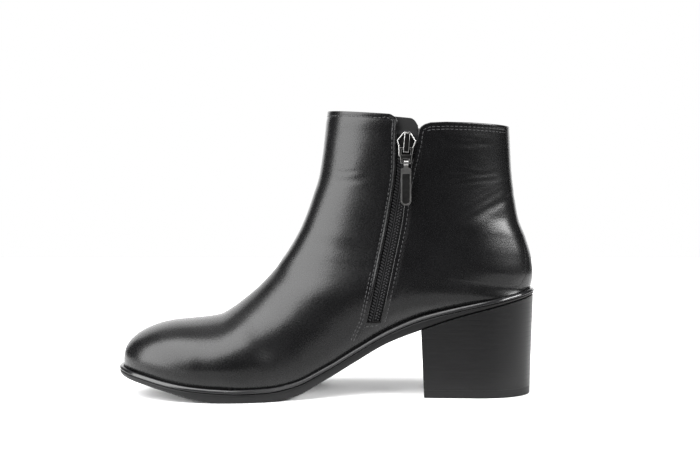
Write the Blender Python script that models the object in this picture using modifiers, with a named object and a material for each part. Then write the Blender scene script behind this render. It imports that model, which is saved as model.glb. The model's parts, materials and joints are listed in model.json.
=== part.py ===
"""Right ankle boot with a block heel and a zip on the inside of the foot.

The toe points to -X, the inside of the foot faces -Y, and the sole stands on Z = 0.
Sizes are in millimetres and become metres when a mesh is made.
"""

import bisect
import math
from typing import NamedTuple

import bmesh
import bpy
from mathutils import Matrix, Vector
from mathutils.bvhtree import BVHTree

MM = 0.001
WELD = 0.002
GAP = 0.3
MEDIAL, LATERAL = -1, 1

# Ends of the feather line, where the upper meets the welt, and how far in each end is rounded
TOE_X = -123.4
HEEL_X = 123.4
TOE_REACH = 48.0
HEEL_REACH = 38.0
END_POWER = 2.5

# Leather wall, and the toe cap's front, which rises from TIP_Z over CAP_REACH
WALL = 1.8
TIP_Z = 22.0
CAP_REACH = 43.0

# The outer ball sits further back than the inner one
BALL_LAG = 16.0
BALL_START, BALL_FRONT, BALL_BACK, BALL_END = -124.0, -85.0, -30.0, 30.0

# The outer side's collar dips behind its front part
DIP_X, DIP_REACH, DIP_DEPTH, DIP_ACROSS = 66.0, 30.0, 4.2, 24.0
DIP_LOW, DIP_HIGH = 128.0, 161.0

# Sole layers: thicknesses and how far each stands out past the upper
WELT_THICK = 2.2
WELT_MARGIN = 2.6
OUTSOLE_MARGIN = 2.2
INSOLE_THICK = 2.4
INSOLE_LIFT = 0.3
INSOLE_INSET = WALL + 1.3

# Heel: breast at the top and at the floor, taper, and the wearing piece
BREAST_TOP_X = 55.8
BREAST_FLOOR_X = 57.5
BREAST_TURN, BREAST_END_X, BREAST_INNER_Y = 0.075, 100.0, -26.0
HEEL_TOP_MARGIN = 2.0
HEEL_FLOOR_MARGIN = 0.1
LIFT_TOP = 4.6

# Mesh steps along and across the forms
TOE_STEPS, WAIST_STEPS, HEEL_STEPS, SHAFT_STEPS = 8, 24, 7, 14
WALL_STEPS, CROWN_STEPS = 6, 8
SOLE_ACROSS = 4
ZIP_STEPS, ZIP_ACROSS = 20, 4
ARC_STEPS = 6
CIRCLE_STEPS = 16
SHARP_ANGLE = math.radians(35.0)

# Rays that find the leather's face start well outside it and run outwards to inwards
RAY_START_Y = -200.0
RAY = Vector((0.0, 1.0, 0.0))

# Zip pieces: half widths and depths below the leather's outer face
TAPE_HALF, TAPE_THICK = 8.0, 0.7
GUARD_HALF, GUARD_THICK = 9.5, 1.2
CHAIN_SIDE_GAP, CHAIN_DEPTH = 0.5, 0.4
TAPE_BELOW, GUARD_BELOW = 1.0, -1.0
GUARD_TOP_Z, TAPE_TOP_Z, CHAIN_TOP_Z = 164.5, 158.0, 156.0
SLOT_ABOVE = 12.0
STRAIGHT_END = 150.0

# Slider: its place, its plate and the bridge that carries the pull
SLIDER_Z, SLIDER_SHIFT = 149.6, 0.8
SLIDER_SLANT = math.radians(4.5)
SLIDER_LIFT, SLIDER_THICK = 0.5, 2.1
BRIDGE_HALF, BRIDGE_BAR, BRIDGE_ROOM, BRIDGE_LEG = 1.6, 1.0, 2.0, 1.5
BRIDGE_TOP, BRIDGE_LOW, BRIDGE_SUNK = 6.8, -4.6, 0.6
KITE_HALF = [(1.9, 7.4), (5.6, 2.2), (4.5, -1.2), (3.9, -7.0)]
KITE_ROUND = 1.0

# Pull: a link on the bridge, and a tab whose ring hangs on the link's lower bar
LINK_DROP = 2.2
LINK_THICK, LINK_BAR = 1.0, 0.6
LINK_TOP_HALF, LINK_LOW_HALF = 4.1, 3.0
LINK_EYE_HALF, LINK_EYE_END = 2.6, 3.7
TAB_DROP, TAB_BAR = 8.5, 0.5
TAB_EYE_HALF, TAB_EYE_ROOM = 1.9, 1.9
TAB_THICK, TAB_HALF, TAB_END = 1.4, 3.0, 24.6
TAB_NECK_HALF, TAB_NECK_TOP, TAB_NECK_END, TAB_SHOULDER = 1.3, 1.2, 2.6, 3.4
RING_OUTER, RING_INNER = 1.8, 0.95
LINK_ROUND, EYE_ROUND, TAB_ROUND = 0.9, 0.4, 1.8


class SoleRow(NamedTuple):
    """Heights on the inner edge, and the plan outline of the feather line."""

    name: str
    x: float
    feather: float
    tread: float
    centre: float
    half_width: float


SOLE = [
    SoleRow("tip", -123.4, 18.4, 11.2, -6.0, 31.0),
    SoleRow("toe", -106.0, 14.6, 7.2, -4.6, 32.3),
    SoleRow("toe joint", -92.0, 11.8, 4.7, -3.4, 35.2),
    SoleRow("toe roll", -78.0, 9.65, 1.7, -2.2, 37.8),
    SoleRow("tread front", -64.0, 8.45, 0.0, -1.1, 39.7),
    SoleRow("inner ball", -52.0, 8.0, 0.0, -0.4, 40.4),
    SoleRow("outer ball", -35.0, 8.3, 0.0, 1.4, 38.9),
    SoleRow("tread back", -20.0, 10.6, 1.9, 3.1, 35.8),
    SoleRow("arch front", 0.0, 19.5, 11.6, 4.2, 31.0),
    SoleRow("arch", 17.0, 29.5, 21.5, 4.1, 27.8),
    SoleRow("waist", 36.0, 40.4, 32.5, 3.2, 25.9),
    SoleRow("breast", 56.0, 48.9, 40.5, 1.8, 25.5),
    SoleRow("seat front", 72.0, 53.2, 46.4, 0.8, 25.9),
    SoleRow("seat", 100.0, 59.3, 54.2, 0.0, 26.3),
    SoleRow("heel back", 123.4, 64.4, 60.0, 0.0, 26.3),
]


class FootRow(NamedTuple):
    """Sections of the foot, each from a point on the feather line to a point on the ridge."""

    name: str
    bottom_x: float
    top_x: float
    top_z: float
    ridge_y: float
    width: float
    belly_at: float
    wall_power: float
    crown: float


FOOT = [
    FootRow("tip", -123.4, -123.4, 44.4, -5.5, 31.8, 0.22, 2.0, 2.2),
    FootRow("toe cap", -88.0, -88.0, 45.0, -3.5, 37.3, 0.225, 2.0, 2.1),
    FootRow("vamp", -75.0, -77.0, 45.8, -2.6, 39.9, 0.235, 2.0, 2.0),
    FootRow("ball", -55.0, -66.0, 47.5, -1.6, 42.2, 0.255, 2.0, 1.9),
    FootRow("outer ball", -35.0, -57.5, 52.1, -0.8, 41.2, 0.29, 2.0, 1.9),
    FootRow("tread", -15.0, -51.0, 56.9, -0.4, 37.6, 0.32, 2.0, 1.9),
    FootRow("arch", 5.0, -46.0, 61.0, 0.0, 34.2, 0.34, 2.1, 1.9),
    FootRow("waist", 25.0, -41.5, 64.9, 0.0, 32.2, 0.36, 2.2, 1.95),
    FootRow("instep", 45.0, -37.5, 68.9, 0.0, 31.2, 0.38, 2.3, 2.0),
    FootRow("short heel", 65.0, -34.0, 72.7, 0.0, 30.5, 0.40, 2.4, 2.03),
    FootRow("counter", 85.0, -31.0, 76.4, 0.0, 30.0, 0.42, 2.5, 2.08),
    FootRow("long heel", 105.0, -28.2, 80.5, 0.0, 29.7, 0.44, 2.5, 2.15),
    FootRow("heel back", 123.4, -25.5, 84.2, 0.0, 29.5, 0.45, 2.49, 2.25),
]


class ShaftRow(NamedTuple):
    """Sections of the shaft, each from the back seam to the front."""

    name: str
    back_z: float
    back_x: float
    front_x: float
    front_z: float
    width: float
    belly_at: float
    wall_power: float
    crown: float


SHAFT = [
    ShaftRow("heel back", 64.4, 123.4, -25.5, 84.2, 29.5, 0.45, 2.49, 2.25),
    ShaftRow("counter", 72.0, 124.4, -20.5, 92.1, 29.15, 0.45, 2.8, 2.22),
    ShaftRow("counter top", 82.0, 123.5, -16.3, 100.0, 28.9, 0.46, 2.7, 2.28),
    ShaftRow("ankle", 94.5, 120.2, -12.0, 110.5, 28.6, 0.47, 2.55, 2.28),
    ShaftRow("above ankle", 106.0, 115.8, -8.6, 120.3, 28.7, 0.48, 2.4, 2.28),
    ShaftRow("low shaft", 122.0, 113.0, -5.2, 131.0, 29.2, 0.49, 2.3, 2.28),
    ShaftRow("shaft", 138.0, 111.3, -3.2, 143.0, 29.9, 0.50, 2.3, 2.29),
    ShaftRow("high shaft", 150.0, 110.6, -1.5, 157.0, 30.6, 0.50, 2.3, 2.30),
    ShaftRow("collar", 161.9, 110.05, 0.3, 170.5, 31.0, 0.50, 2.3, 2.30),
]


class ZipRow(NamedTuple):
    """Front and back edge of the slot at a height on the inside of the shaft."""

    name: str
    z: float
    front_x: float
    back_x: float


ZIP = [
    ZipRow("bottom", 45.0, 23.4, 31.8),
    ZipRow("low", 75.0, 29.8, 38.2),
    ZipRow("middle", 105.5, 36.0, 44.4),
    ZipRow("bend", 128.0, 39.7, 47.7),
    ZipRow("slider", STRAIGHT_END, 41.3, 49.9),
]

# The slot's edges in X and Z from below the slider up, where it opens wider than the zip
SLOT_FRONT = [(40.5, 136.0), (40.7, 152.0), (41.3, 161.5), (39.8, 166.0)]
SLOT_BACK = [(49.3, 136.0), (51.6, 145.0), (53.6, 156.0), (54.4, 159.5), (58.5, 166.0)]


class Finish(NamedTuple):
    colour: tuple
    roughness: float
    metallic: float


FINISHES = {
    "black_leather": Finish((0.012, 0.012, 0.013, 1.0), 0.38, 0.0),
    "insole_board": Finish((0.030, 0.028, 0.027, 1.0), 0.75, 0.0),
    "welt_edge": Finish((0.014, 0.014, 0.015, 1.0), 0.25, 0.0),
    "sole_rubber": Finish((0.018, 0.018, 0.019, 1.0), 0.62, 0.0),
    "heel_stack": Finish((0.016, 0.016, 0.017, 1.0), 0.45, 0.0),
    "zip_cloth": Finish((0.015, 0.015, 0.016, 1.0), 0.85, 0.0),
    "zip_coil": Finish((0.020, 0.020, 0.021, 1.0), 0.50, 0.0),
    "gunmetal": Finish((0.180, 0.175, 0.170, 1.0), 0.32, 1.0),
}


class Section(NamedTuple):
    """One cross section: its lower point on each side, its ridge point and its half widths."""

    bottoms: dict
    top: Vector
    seat_width: float
    width: float
    belly_at: float
    wall_power: float
    crown: float


def row_slope(keys, heights, place):
    """Slope of a curve at a table row, flat at a peak so that the curve never overshoots."""
    before = max(place - 1, 0)
    after = min(place + 1, len(keys) - 1)
    if before == place or after == place:
        return (heights[after] - heights[before]) / (keys[after] - keys[before])
    step_in = keys[place] - keys[before]
    step_out = keys[after] - keys[place]
    rise_in = (heights[place] - heights[before]) / step_in
    rise_out = (heights[after] - heights[place]) / step_out
    if rise_in * rise_out <= 0.0:
        return 0.0
    weight_in = 2.0 * step_out + step_in
    weight_out = step_out + 2.0 * step_in
    return (weight_in + weight_out) / (weight_in / rise_in + weight_out / rise_out)


def between(rows, at):
    """The row of a table at any value of its first number column."""
    keys = [row[1] for row in rows]
    at = min(max(at, keys[0]), keys[-1])
    index = min(bisect.bisect_right(keys, at), len(keys) - 1) - 1
    step = keys[index + 1] - keys[index]
    share = (at - keys[index]) / step
    values = [at]
    for column in range(2, len(rows[0])):
        heights = [row[column] for row in rows]
        start, end = heights[index], heights[index + 1]
        start_slope = row_slope(keys, heights, index) * step
        end_slope = row_slope(keys, heights, index + 1) * step
        rise = end - start
        value = start + share * (
            start_slope
            + share * (3.0 * rise - 2.0 * start_slope - end_slope)
            + share * share * (start_slope + end_slope - 2.0 * rise)
        )
        values.append(value)
    return type(rows[0])("", *values)


def rounded_end(distance, reach):
    """Rounded end: 0 at the tip, 1 from reach inwards, without a jump in curvature."""
    left = min(max(0.0, 1.0 - distance / reach), 1.0)
    return math.sqrt(1.0 - left**END_POWER)


def ramp(value, low, high):
    """Smooth step from 0 at low to 1 at high."""
    share = min(max((value - low) / (high - low), 0.0), 1.0)
    return share * share * (3.0 - 2.0 * share)


def seat_half_width(x):
    """Half width of the feather line."""
    ends = rounded_end(x - TOE_X, TOE_REACH) * rounded_end(HEEL_X - x, HEEL_REACH)
    return between(SOLE, x).half_width * ends


def medial_x(x, y):
    """Place along the inner edge that has the same sole height as the point at x and y."""
    row = between(SOLE, x)
    across = 0.5 + 0.5 * (y - row.centre) / row.half_width
    fade = ramp(x, BALL_START, BALL_FRONT) * (1.0 - ramp(x, BALL_BACK, BALL_END))
    return x - BALL_LAG * fade * across


def feather_height(x, y):
    return between(SOLE, medial_x(x, y)).feather


def tread_height(x, y):
    return between(SOLE, medial_x(x, y)).tread


def welt_top(x, y):
    return feather_height(x, y) - GAP


def welt_bottom(x, y):
    return welt_top(x, y) - WELT_THICK


def outsole_top(x, y):
    return welt_bottom(x, y) - GAP


def foot_section(x):
    """Section that starts on the feather line at x."""
    row = between(FOOT, x)
    toe = rounded_end(x - TOE_X, TOE_REACH)
    cap = rounded_end(x - TOE_X, CAP_REACH)
    seat = seat_half_width(x)
    centre = between(SOLE, x).centre
    bottoms = {
        side: Vector((x, centre, feather_height(x, centre + side * seat))) for side in (MEDIAL, LATERAL)
    }
    top = Vector((row.top_x, row.ridge_y, TIP_Z + (row.top_z - TIP_Z) * cap))
    return Section(bottoms, top, seat, row.width * toe, row.belly_at, row.wall_power, row.crown)


def shaft_section(back_z):
    """Section that starts on the back seam at back_z."""
    row = between(SHAFT, back_z)
    bottom = Vector((row.back_x, 0.0, back_z))
    top = Vector((row.front_x, 0.0, row.front_z))
    bottoms = {MEDIAL: bottom, LATERAL: bottom}
    return Section(bottoms, top, 0.0, row.width, row.belly_at, row.wall_power, row.crown)


def half_width_at(section, share):
    """Half width of a section at a share of the way from its bottom to its ridge."""
    if section.width < WELD:
        return 0.0
    if share < section.belly_at:
        power = section.wall_power
        seat = (section.seat_width / section.width) ** power
        lost = (1.0 - seat) * ((section.belly_at - share) / section.belly_at) ** power
    else:
        power = section.crown
        lost = ((share - section.belly_at) / (1.0 - section.belly_at)) ** power
    return section.width * max(0.0, 1.0 - lost) ** (1.0 / power)


def collar_dip(point):
    """How far the outer side's collar dips at a point of the shaft."""
    away = (point.x - DIP_X) / DIP_REACH
    rise = ramp(point.z, DIP_LOW, DIP_HIGH) * ramp(point.y, 0.0, DIP_ACROSS)
    return DIP_DEPTH * math.exp(-away * away) * rise


def section_points(section):
    """Points over a section, from its inner edge over the ridge to its outer edge."""
    quarter = 0.5 * math.pi
    belly = section.belly_at
    shares = [belly * (1.0 - math.cos(quarter * step / WALL_STEPS)) for step in range(WALL_STEPS)]
    shares += [
        belly + (1.0 - belly) * math.sin(quarter * step / CROWN_STEPS) for step in range(CROWN_STEPS)
    ]
    sides = {}
    for side, bottom in section.bottoms.items():
        sides[side] = [
            bottom.lerp(section.top, share) + Vector((0.0, side * half_width_at(section, share), 0.0))
            for share in shares
        ]
    for point in sides[LATERAL]:
        point.z -= collar_dip(point)
    return sides[MEDIAL] + [section.top] + sides[LATERAL][::-1]


def foot_stations():
    """Places along the feather line, closer together at its rounded ends."""
    quarter = 0.5 * math.pi
    toe_end = TOE_X + CAP_REACH
    heel_start = HEEL_X - HEEL_REACH
    waist = (heel_start - toe_end) / WAIST_STEPS
    toe = [TOE_X + CAP_REACH * (1.0 - math.cos(quarter * step / TOE_STEPS)) for step in range(TOE_STEPS)]
    middle = [toe_end + waist * step for step in range(WAIST_STEPS)]
    return toe + middle + heel_stations(heel_start)


def heel_stations(start):
    """Places from start to the back of the heel."""
    quarter = 0.5 * math.pi
    reach = HEEL_X - start
    return [start + reach * math.sin(quarter * step / HEEL_STEPS) for step in range(HEEL_STEPS + 1)]


def skin(rings, closed, capped):
    """A mesh over rings of points, each ring joined to the next."""
    mesh = bmesh.new()
    rows = [[mesh.verts.new(point) for point in ring] for ring in rings]
    count = len(rings[0])
    for row, following in zip(rows, rows[1:]):
        for index in range(count if closed else count - 1):
            other = (index + 1) % count
            mesh.faces.new((row[index], following[index], following[other], row[other]))
    if capped:
        mesh.faces.new(rows[0])
        mesh.faces.new(rows[-1][::-1])
    bmesh.ops.remove_doubles(mesh, verts=mesh.verts, dist=WELD)
    return mesh


def outline(stations, margin):
    """Pairs of plan points, inner and outer, set out by margin from the feather line."""
    edges = {}
    for side in (MEDIAL, LATERAL):
        edges[side] = [
            Vector((x, between(SOLE, x).centre + side * seat_half_width(x))) for x in stations
        ]
    last = len(stations) - 1
    pairs = []
    for index in range(len(stations)):
        pair = []
        for side in (MEDIAL, LATERAL):
            points, others = edges[side], edges[-side]
            meets = (points[index] - others[index]).length < WELD
            before = points[index - 1] if index else (others[1] if meets else points[0])
            after = points[index + 1] if index < last else (others[-2] if meets else points[-1])
            along = (after - before).normalized()
            pair.append(points[index] + margin * side * Vector((-along.y, along.x)))
        pairs.append(pair)
    return pairs


def layer(top_pairs, bottom_pairs, top_height, bottom_height):
    """A closed slab between two plan outlines and two height functions."""
    shares = [step / SOLE_ACROSS for step in range(SOLE_ACROSS + 1)]
    rings = []
    for top_pair, bottom_pair in zip(top_pairs, bottom_pairs):
        over = [top_pair[0].lerp(top_pair[1], share) for share in shares]
        under = [bottom_pair[1].lerp(bottom_pair[0], share) for share in shares]
        ring = [Vector((x, y, top_height(x, y))) for x, y in over]
        ring += [Vector((x, y, bottom_height(x, y))) for x, y in under]
        rings.append(ring)
    cut_front = (top_pairs[0][0] - top_pairs[0][1]).length > 1.0
    mesh = skin(rings, True, False)
    if cut_front:
        front = [edge for edge in mesh.edges if edge.is_boundary]
        bmesh.ops.holes_fill(mesh, edges=front)
    return mesh


def finish(name):
    """The Principled material of a finish."""
    material = bpy.data.materials.get(name) or bpy.data.materials.new(name)
    material.use_nodes = True
    shader = material.node_tree.nodes["Principled BSDF"]
    shader.inputs["Base Color"].default_value = FINISHES[name].colour
    shader.inputs["Roughness"].default_value = FINISHES[name].roughness
    shader.inputs["Metallic"].default_value = FINISHES[name].metallic
    return material


def piece(name, mesh, finish_name, collection, origin=Vector()):
    """A named object from a mesh in millimetres, with its origin at a given point."""
    bmesh.ops.translate(mesh, verts=mesh.verts, vec=-origin)
    bmesh.ops.scale(mesh, verts=mesh.verts, vec=Vector((MM, MM, MM)))
    data = bpy.data.meshes.new(name)
    mesh.to_mesh(data)
    mesh.free()
    data.shade_smooth()
    data.set_sharp_from_angle(angle=SHARP_ANGLE)
    data.materials.append(finish(finish_name))
    made = bpy.data.objects.new(name, data)
    made.location = origin * MM
    collection.objects.link(made)
    return made


def cutter(made):
    """Marks an object as a helper that only cuts or joins."""
    made.hide_render = True
    made.display_type = "WIRE"
    return made


def boolean(made, other, operation):
    modifier = made.modifiers.new(operation.title(), "BOOLEAN")
    modifier.operation = operation
    modifier.object = cutter(other)


def plate(splines, thickness):
    """A flat plate from outlines in X and Z, its holes among them, centred on Y = 0."""
    curve = bpy.data.curves.new("plate_outline", "CURVE")
    curve.dimensions = "2D"
    curve.fill_mode = "BOTH"
    curve.extrude = 0.5 * thickness
    for points in splines:
        spline = curve.splines.new("POLY")
        spline.points.add(len(points) - 1)
        spline.use_cyclic_u = True
        for target, (x, z) in zip(spline.points, points):
            target.co = (x, z, 0.0, 1.0)
    drawn = bpy.data.objects.new("plate_outline", curve)
    bpy.context.scene.collection.objects.link(drawn)
    graph = bpy.context.evaluated_depsgraph_get()
    data = bpy.data.meshes.new_from_object(drawn.evaluated_get(graph))
    mesh = bmesh.new()
    mesh.from_mesh(data)
    bpy.data.objects.remove(drawn)
    bpy.data.curves.remove(curve)
    bpy.data.meshes.remove(data)
    bmesh.ops.remove_doubles(mesh, verts=mesh.verts, dist=WELD)
    bmesh.ops.rotate(mesh, verts=mesh.verts, matrix=Matrix.Rotation(0.5 * math.pi, 3, "X"))
    bmesh.ops.recalc_face_normals(mesh, faces=mesh.faces)
    return mesh


def rounded(corners, radius):
    """A closed outline whose corners are arcs of a radius, or less where an edge is short."""
    points = []
    count = len(corners)
    for index, corner in enumerate(corners):
        here = Vector(corner)
        to_last = Vector(corners[index - 1]) - here
        to_next = Vector(corners[(index + 1) % count]) - here
        half_angle = 0.5 * to_last.angle(to_next)
        room = 0.49 * min(to_last.length, to_next.length)
        tangent = min(radius / math.tan(half_angle), room)
        start = here + to_last.normalized() * tangent
        end = here + to_next.normalized() * tangent
        for step in range(ARC_STEPS + 1):
            share = step / ARC_STEPS
            points.append(start.lerp(here, share).lerp(here.lerp(end, share), share))
    return points


def box_outline(half_width, low, high):
    return [(-half_width, low), (half_width, low), (half_width, high), (-half_width, high)]


def circle(radius):
    turns = [2.0 * math.pi * step / CIRCLE_STEPS for step in range(CIRCLE_STEPS)]
    return [(radius * math.cos(turn), radius * math.sin(turn)) for turn in turns]


def upper_surface():
    """Outer face of the leather, from the toe over the instep and up the shaft."""
    low, high = SHAFT[0].back_z, SHAFT[-1].back_z
    sections = [foot_section(x) for x in foot_stations()]
    sections += [
        shaft_section(low + (high - low) * step / SHAFT_STEPS) for step in range(1, SHAFT_STEPS + 1)
    ]
    mesh = skin([section_points(section) for section in sections], False, False)
    mesh.normal_update()
    return mesh


def make_upper(surface, collection, cutters):
    """Hollow leather wall with the zip's slot cut through its inner side."""
    upper = piece("upper", surface, "black_leather", collection)
    wall = upper.modifiers.new("Wall", "SOLIDIFY")
    wall.thickness = WALL * MM
    wall.offset = -1.0
    wall.use_even_offset = True
    front = [(row.front_x, row.z) for row in ZIP[:-1]] + SLOT_FRONT
    back = [(row.back_x, row.z) for row in ZIP[:-1]] + SLOT_BACK
    ends = [(x, z + SLOT_ABOVE) for x, z in (front[-1], back[-1])]
    depth = SHAFT[-1].width
    slot = plate([front + ends + back[::-1]], depth)
    bmesh.ops.translate(slot, verts=slot.verts, vec=Vector((0.0, -depth, 0.0)))
    boolean(upper, piece("slot_cutter", slot, "black_leather", cutters), "DIFFERENCE")


def make_soles(collection):
    """Insole, welt and outsole, one above the other."""
    stations = foot_stations()
    inside = outline(stations, -INSOLE_INSET)
    welt = outline(stations, WELT_MARGIN)
    outsole = outline(stations, OUTSOLE_MARGIN)

    def insole_bottom(x, y):
        return feather_height(x, y) + INSOLE_LIFT

    def insole_top(x, y):
        return insole_bottom(x, y) + INSOLE_THICK

    piece("insole", layer(inside, inside, insole_top, insole_bottom), "insole_board", collection)
    piece("welt", layer(welt, welt, welt_top, welt_bottom), "welt_edge", collection)
    piece("outsole", layer(outsole, outsole, outsole_top, tread_height), "sole_rubber", collection)


def turned_breast(pairs):
    """Plan points of the heel, with the outer end of its breast further back than the inner end."""
    moved = []
    for pair in pairs:
        moved.append([])
        for x, y in pair:
            front = 1.0 - ramp(x, BREAST_FLOOR_X, BREAST_END_X)
            moved[-1].append(Vector((x + BREAST_TURN * front * (y - BREAST_INNER_Y), y)))
    return moved


def make_heel(collection):
    """Tapered heel block with its top lift below."""
    drop = LIFT_TOP / tread_height(BREAST_TOP_X, 0.0)
    lift_margin = HEEL_FLOOR_MARGIN + drop * (HEEL_TOP_MARGIN - HEEL_FLOOR_MARGIN)
    lift_breast = BREAST_FLOOR_X + drop * (BREAST_TOP_X - BREAST_FLOOR_X)
    top = turned_breast(outline(heel_stations(BREAST_TOP_X), HEEL_TOP_MARGIN))
    middle = turned_breast(outline(heel_stations(lift_breast), lift_margin))
    floor = turned_breast(outline(heel_stations(BREAST_FLOOR_X), HEEL_FLOOR_MARGIN))

    def seat(x, y):
        return tread_height(x, y) - GAP

    block = layer(top, middle, seat, lambda x, y: LIFT_TOP + GAP)
    piece("heel_block", block, "heel_stack", collection)
    lift = layer(middle, floor, lambda x, y: LIFT_TOP, lambda x, y: 0.0)
    piece("heel_top_lift", lift, "sole_rubber", collection)


def wall_strip(surface, low_z, high_z, half_width, outer, inner):
    """A band that follows the inside of the shaft behind or within the slot."""
    rings = []
    for step in range(ZIP_STEPS + 1):
        z = low_z + (high_z - low_z) * step / ZIP_STEPS
        slot = between(ZIP, min(z, STRAIGHT_END))
        middle = 0.5 * (slot.front_x + slot.back_x)
        reach = half_width(slot)
        faces = {outer: [], inner: []}
        for across in range(ZIP_ACROSS + 1):
            x = middle + reach * (2.0 * across / ZIP_ACROSS - 1.0)
            place, normal, _, _ = surface.ray_cast(Vector((x, RAY_START_Y, z)), RAY)
            for depth in faces:
                faces[depth].append(place - normal * depth)
        rings.append(faces[outer] + faces[inner][::-1])
    mesh = skin(rings, True, True)
    bmesh.ops.recalc_face_normals(mesh, faces=mesh.faces)
    return mesh


def make_zip(surface, collection):
    """Tape and guard behind the wall, and the coil within the slot."""
    bottom = ZIP[0].z
    tape_outer = WALL + GAP
    guard_outer = tape_outer + TAPE_THICK + GAP

    def chain_half(row):
        return 0.5 * (row.back_x - row.front_x) - CHAIN_SIDE_GAP

    chain = wall_strip(surface, bottom + GAP, CHAIN_TOP_Z, chain_half, CHAIN_DEPTH, WALL)
    piece("zip_chain", chain, "zip_coil", collection)
    tape = wall_strip(
        surface, bottom - TAPE_BELOW, TAPE_TOP_Z, lambda row: TAPE_HALF, tape_outer, tape_outer + TAPE_THICK
    )
    piece("zip_tape", tape, "zip_cloth", collection)
    guard_inner = guard_outer + GUARD_THICK
    guard = wall_strip(
        surface, bottom - GUARD_BELOW, GUARD_TOP_Z, lambda row: GUARD_HALF, guard_outer, guard_inner
    )
    piece("zip_guard", guard, "black_leather", collection)


def make_slider(place, collection, cutters):
    """Slider plate over the slot, with the bridge standing on it."""
    kite = KITE_HALF + [(-x, z) for x, z in KITE_HALF[::-1]]
    face = -SLIDER_LIFT - SLIDER_THICK
    body = plate([rounded(kite, KITE_ROUND)], SLIDER_THICK)
    bmesh.ops.translate(body, verts=body.verts, vec=Vector((0.0, face + 0.5 * SLIDER_THICK, 0.0)))
    out = BRIDGE_ROOM + BRIDGE_BAR
    arch = [(-BRIDGE_SUNK, BRIDGE_TOP), (out, BRIDGE_TOP), (out, BRIDGE_LOW), (-BRIDGE_SUNK, BRIDGE_LOW)]
    arch += [(-BRIDGE_SUNK, BRIDGE_LOW + BRIDGE_LEG), (BRIDGE_ROOM, BRIDGE_LOW + BRIDGE_LEG)]
    arch += [(BRIDGE_ROOM, BRIDGE_TOP - BRIDGE_LEG), (-BRIDGE_SUNK, BRIDGE_TOP - BRIDGE_LEG)]
    bridge = plate([arch], 2.0 * BRIDGE_HALF)
    outwards = Matrix.Rotation(-0.5 * math.pi, 3, "Z")
    bmesh.ops.rotate(bridge, verts=bridge.verts, matrix=outwards)
    bmesh.ops.translate(bridge, verts=bridge.verts, vec=Vector((0.0, face, 0.0)))
    for mesh in (body, bridge):
        bmesh.ops.rotate(mesh, verts=mesh.verts, matrix=Matrix.Rotation(SLIDER_SLANT, 3, "Y"))
        bmesh.ops.translate(mesh, verts=mesh.verts, vec=place)
    slider = piece("zip_slider", body, "gunmetal", collection)
    boolean(slider, piece("bridge_join", bridge, "gunmetal", cutters), "UNION")


def make_pull(pivot, collection, cutters):
    """Link on the bridge and the tab below it, each with its origin on its hinge."""
    low = -TAB_DROP - TAB_BAR
    outer = [(-LINK_TOP_HALF, LINK_BAR), (LINK_TOP_HALF, LINK_BAR)]
    outer += [(LINK_LOW_HALF, low), (-LINK_LOW_HALF, low)]
    eye = box_outline(LINK_EYE_HALF, -LINK_EYE_END, -LINK_BAR)
    tab_eye = box_outline(TAB_EYE_HALF, TAB_BAR - TAB_DROP, TAB_BAR - TAB_DROP + TAB_EYE_ROOM)
    outlines = [rounded(outer, LINK_ROUND), rounded(eye, EYE_ROUND), rounded(tab_eye, EYE_ROUND)]
    link = plate(outlines, LINK_THICK)
    bmesh.ops.translate(link, verts=link.verts, vec=pivot)
    piece("zip_pull_link", link, "gunmetal", collection, pivot)

    hinge = pivot - Vector((0.0, 0.0, TAB_DROP))
    half = [(TAB_NECK_HALF, -TAB_NECK_TOP), (TAB_NECK_HALF, -TAB_NECK_END)]
    half += [(TAB_HALF, -TAB_SHOULDER), (TAB_HALF, -TAB_END)]
    tab = plate([rounded(half + [(-x, z) for x, z in half[::-1]], TAB_ROUND)], TAB_THICK)
    ring = plate([circle(RING_OUTER), circle(RING_INNER)], 2.0 * TAB_NECK_HALF)
    bmesh.ops.rotate(ring, verts=ring.verts, matrix=Matrix.Rotation(-0.5 * math.pi, 3, "Z"))
    for mesh in (tab, ring):
        bmesh.ops.translate(mesh, verts=mesh.verts, vec=hinge)
    tab = piece("zip_pull_tab", tab, "gunmetal", collection, hinge)
    boolean(tab, piece("ring_join", ring, "gunmetal", cutters), "UNION")


def make_hardware(surface, collection, cutters):
    """Slider and pull in front of the leather at the top of the zip."""
    slot = between(ZIP, SLIDER_Z)
    centre = 0.5 * (slot.front_x + slot.back_x) + SLIDER_SHIFT
    leather, _, _, _ = surface.ray_cast(Vector((centre, RAY_START_Y, SLIDER_Z)), RAY)
    place = Vector((centre, leather.y, SLIDER_Z))
    make_slider(place, collection, cutters)
    out = SLIDER_LIFT + SLIDER_THICK + 0.5 * BRIDGE_ROOM
    pivot = place + Vector((-LINK_DROP * math.tan(SLIDER_SLANT), -out, -LINK_DROP))
    make_pull(pivot, collection, cutters)


def clear_scene():
    for old in list(bpy.data.objects):
        bpy.data.objects.remove(old)


def new_collection(name):
    collection = bpy.data.collections.new(name)
    bpy.context.scene.collection.children.link(collection)
    return collection


def main():
    clear_scene()
    boot = new_collection("ankle_boot")
    cutters = new_collection("cutters")
    leather = upper_surface()
    surface = BVHTree.FromBMesh(leather)
    make_soles(boot)
    make_heel(boot)
    make_zip(surface, boot)
    make_hardware(surface, boot, cutters)
    make_upper(leather, boot, cutters)


main()
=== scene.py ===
"""Looks of a right ankle boot with a block heel and a zip on its inner side.

The toe points to -X, the inner side of the foot faces -Y, and the sole stands on Z = 0.
Tables and shape functions are in millimetres. Meshes are in metres.
"""

import bisect
import json
import math
from typing import NamedTuple

import bmesh
import bpy
from mathutils import Matrix, Vector, noise
from mathutils.bvhtree import BVHTree


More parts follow.
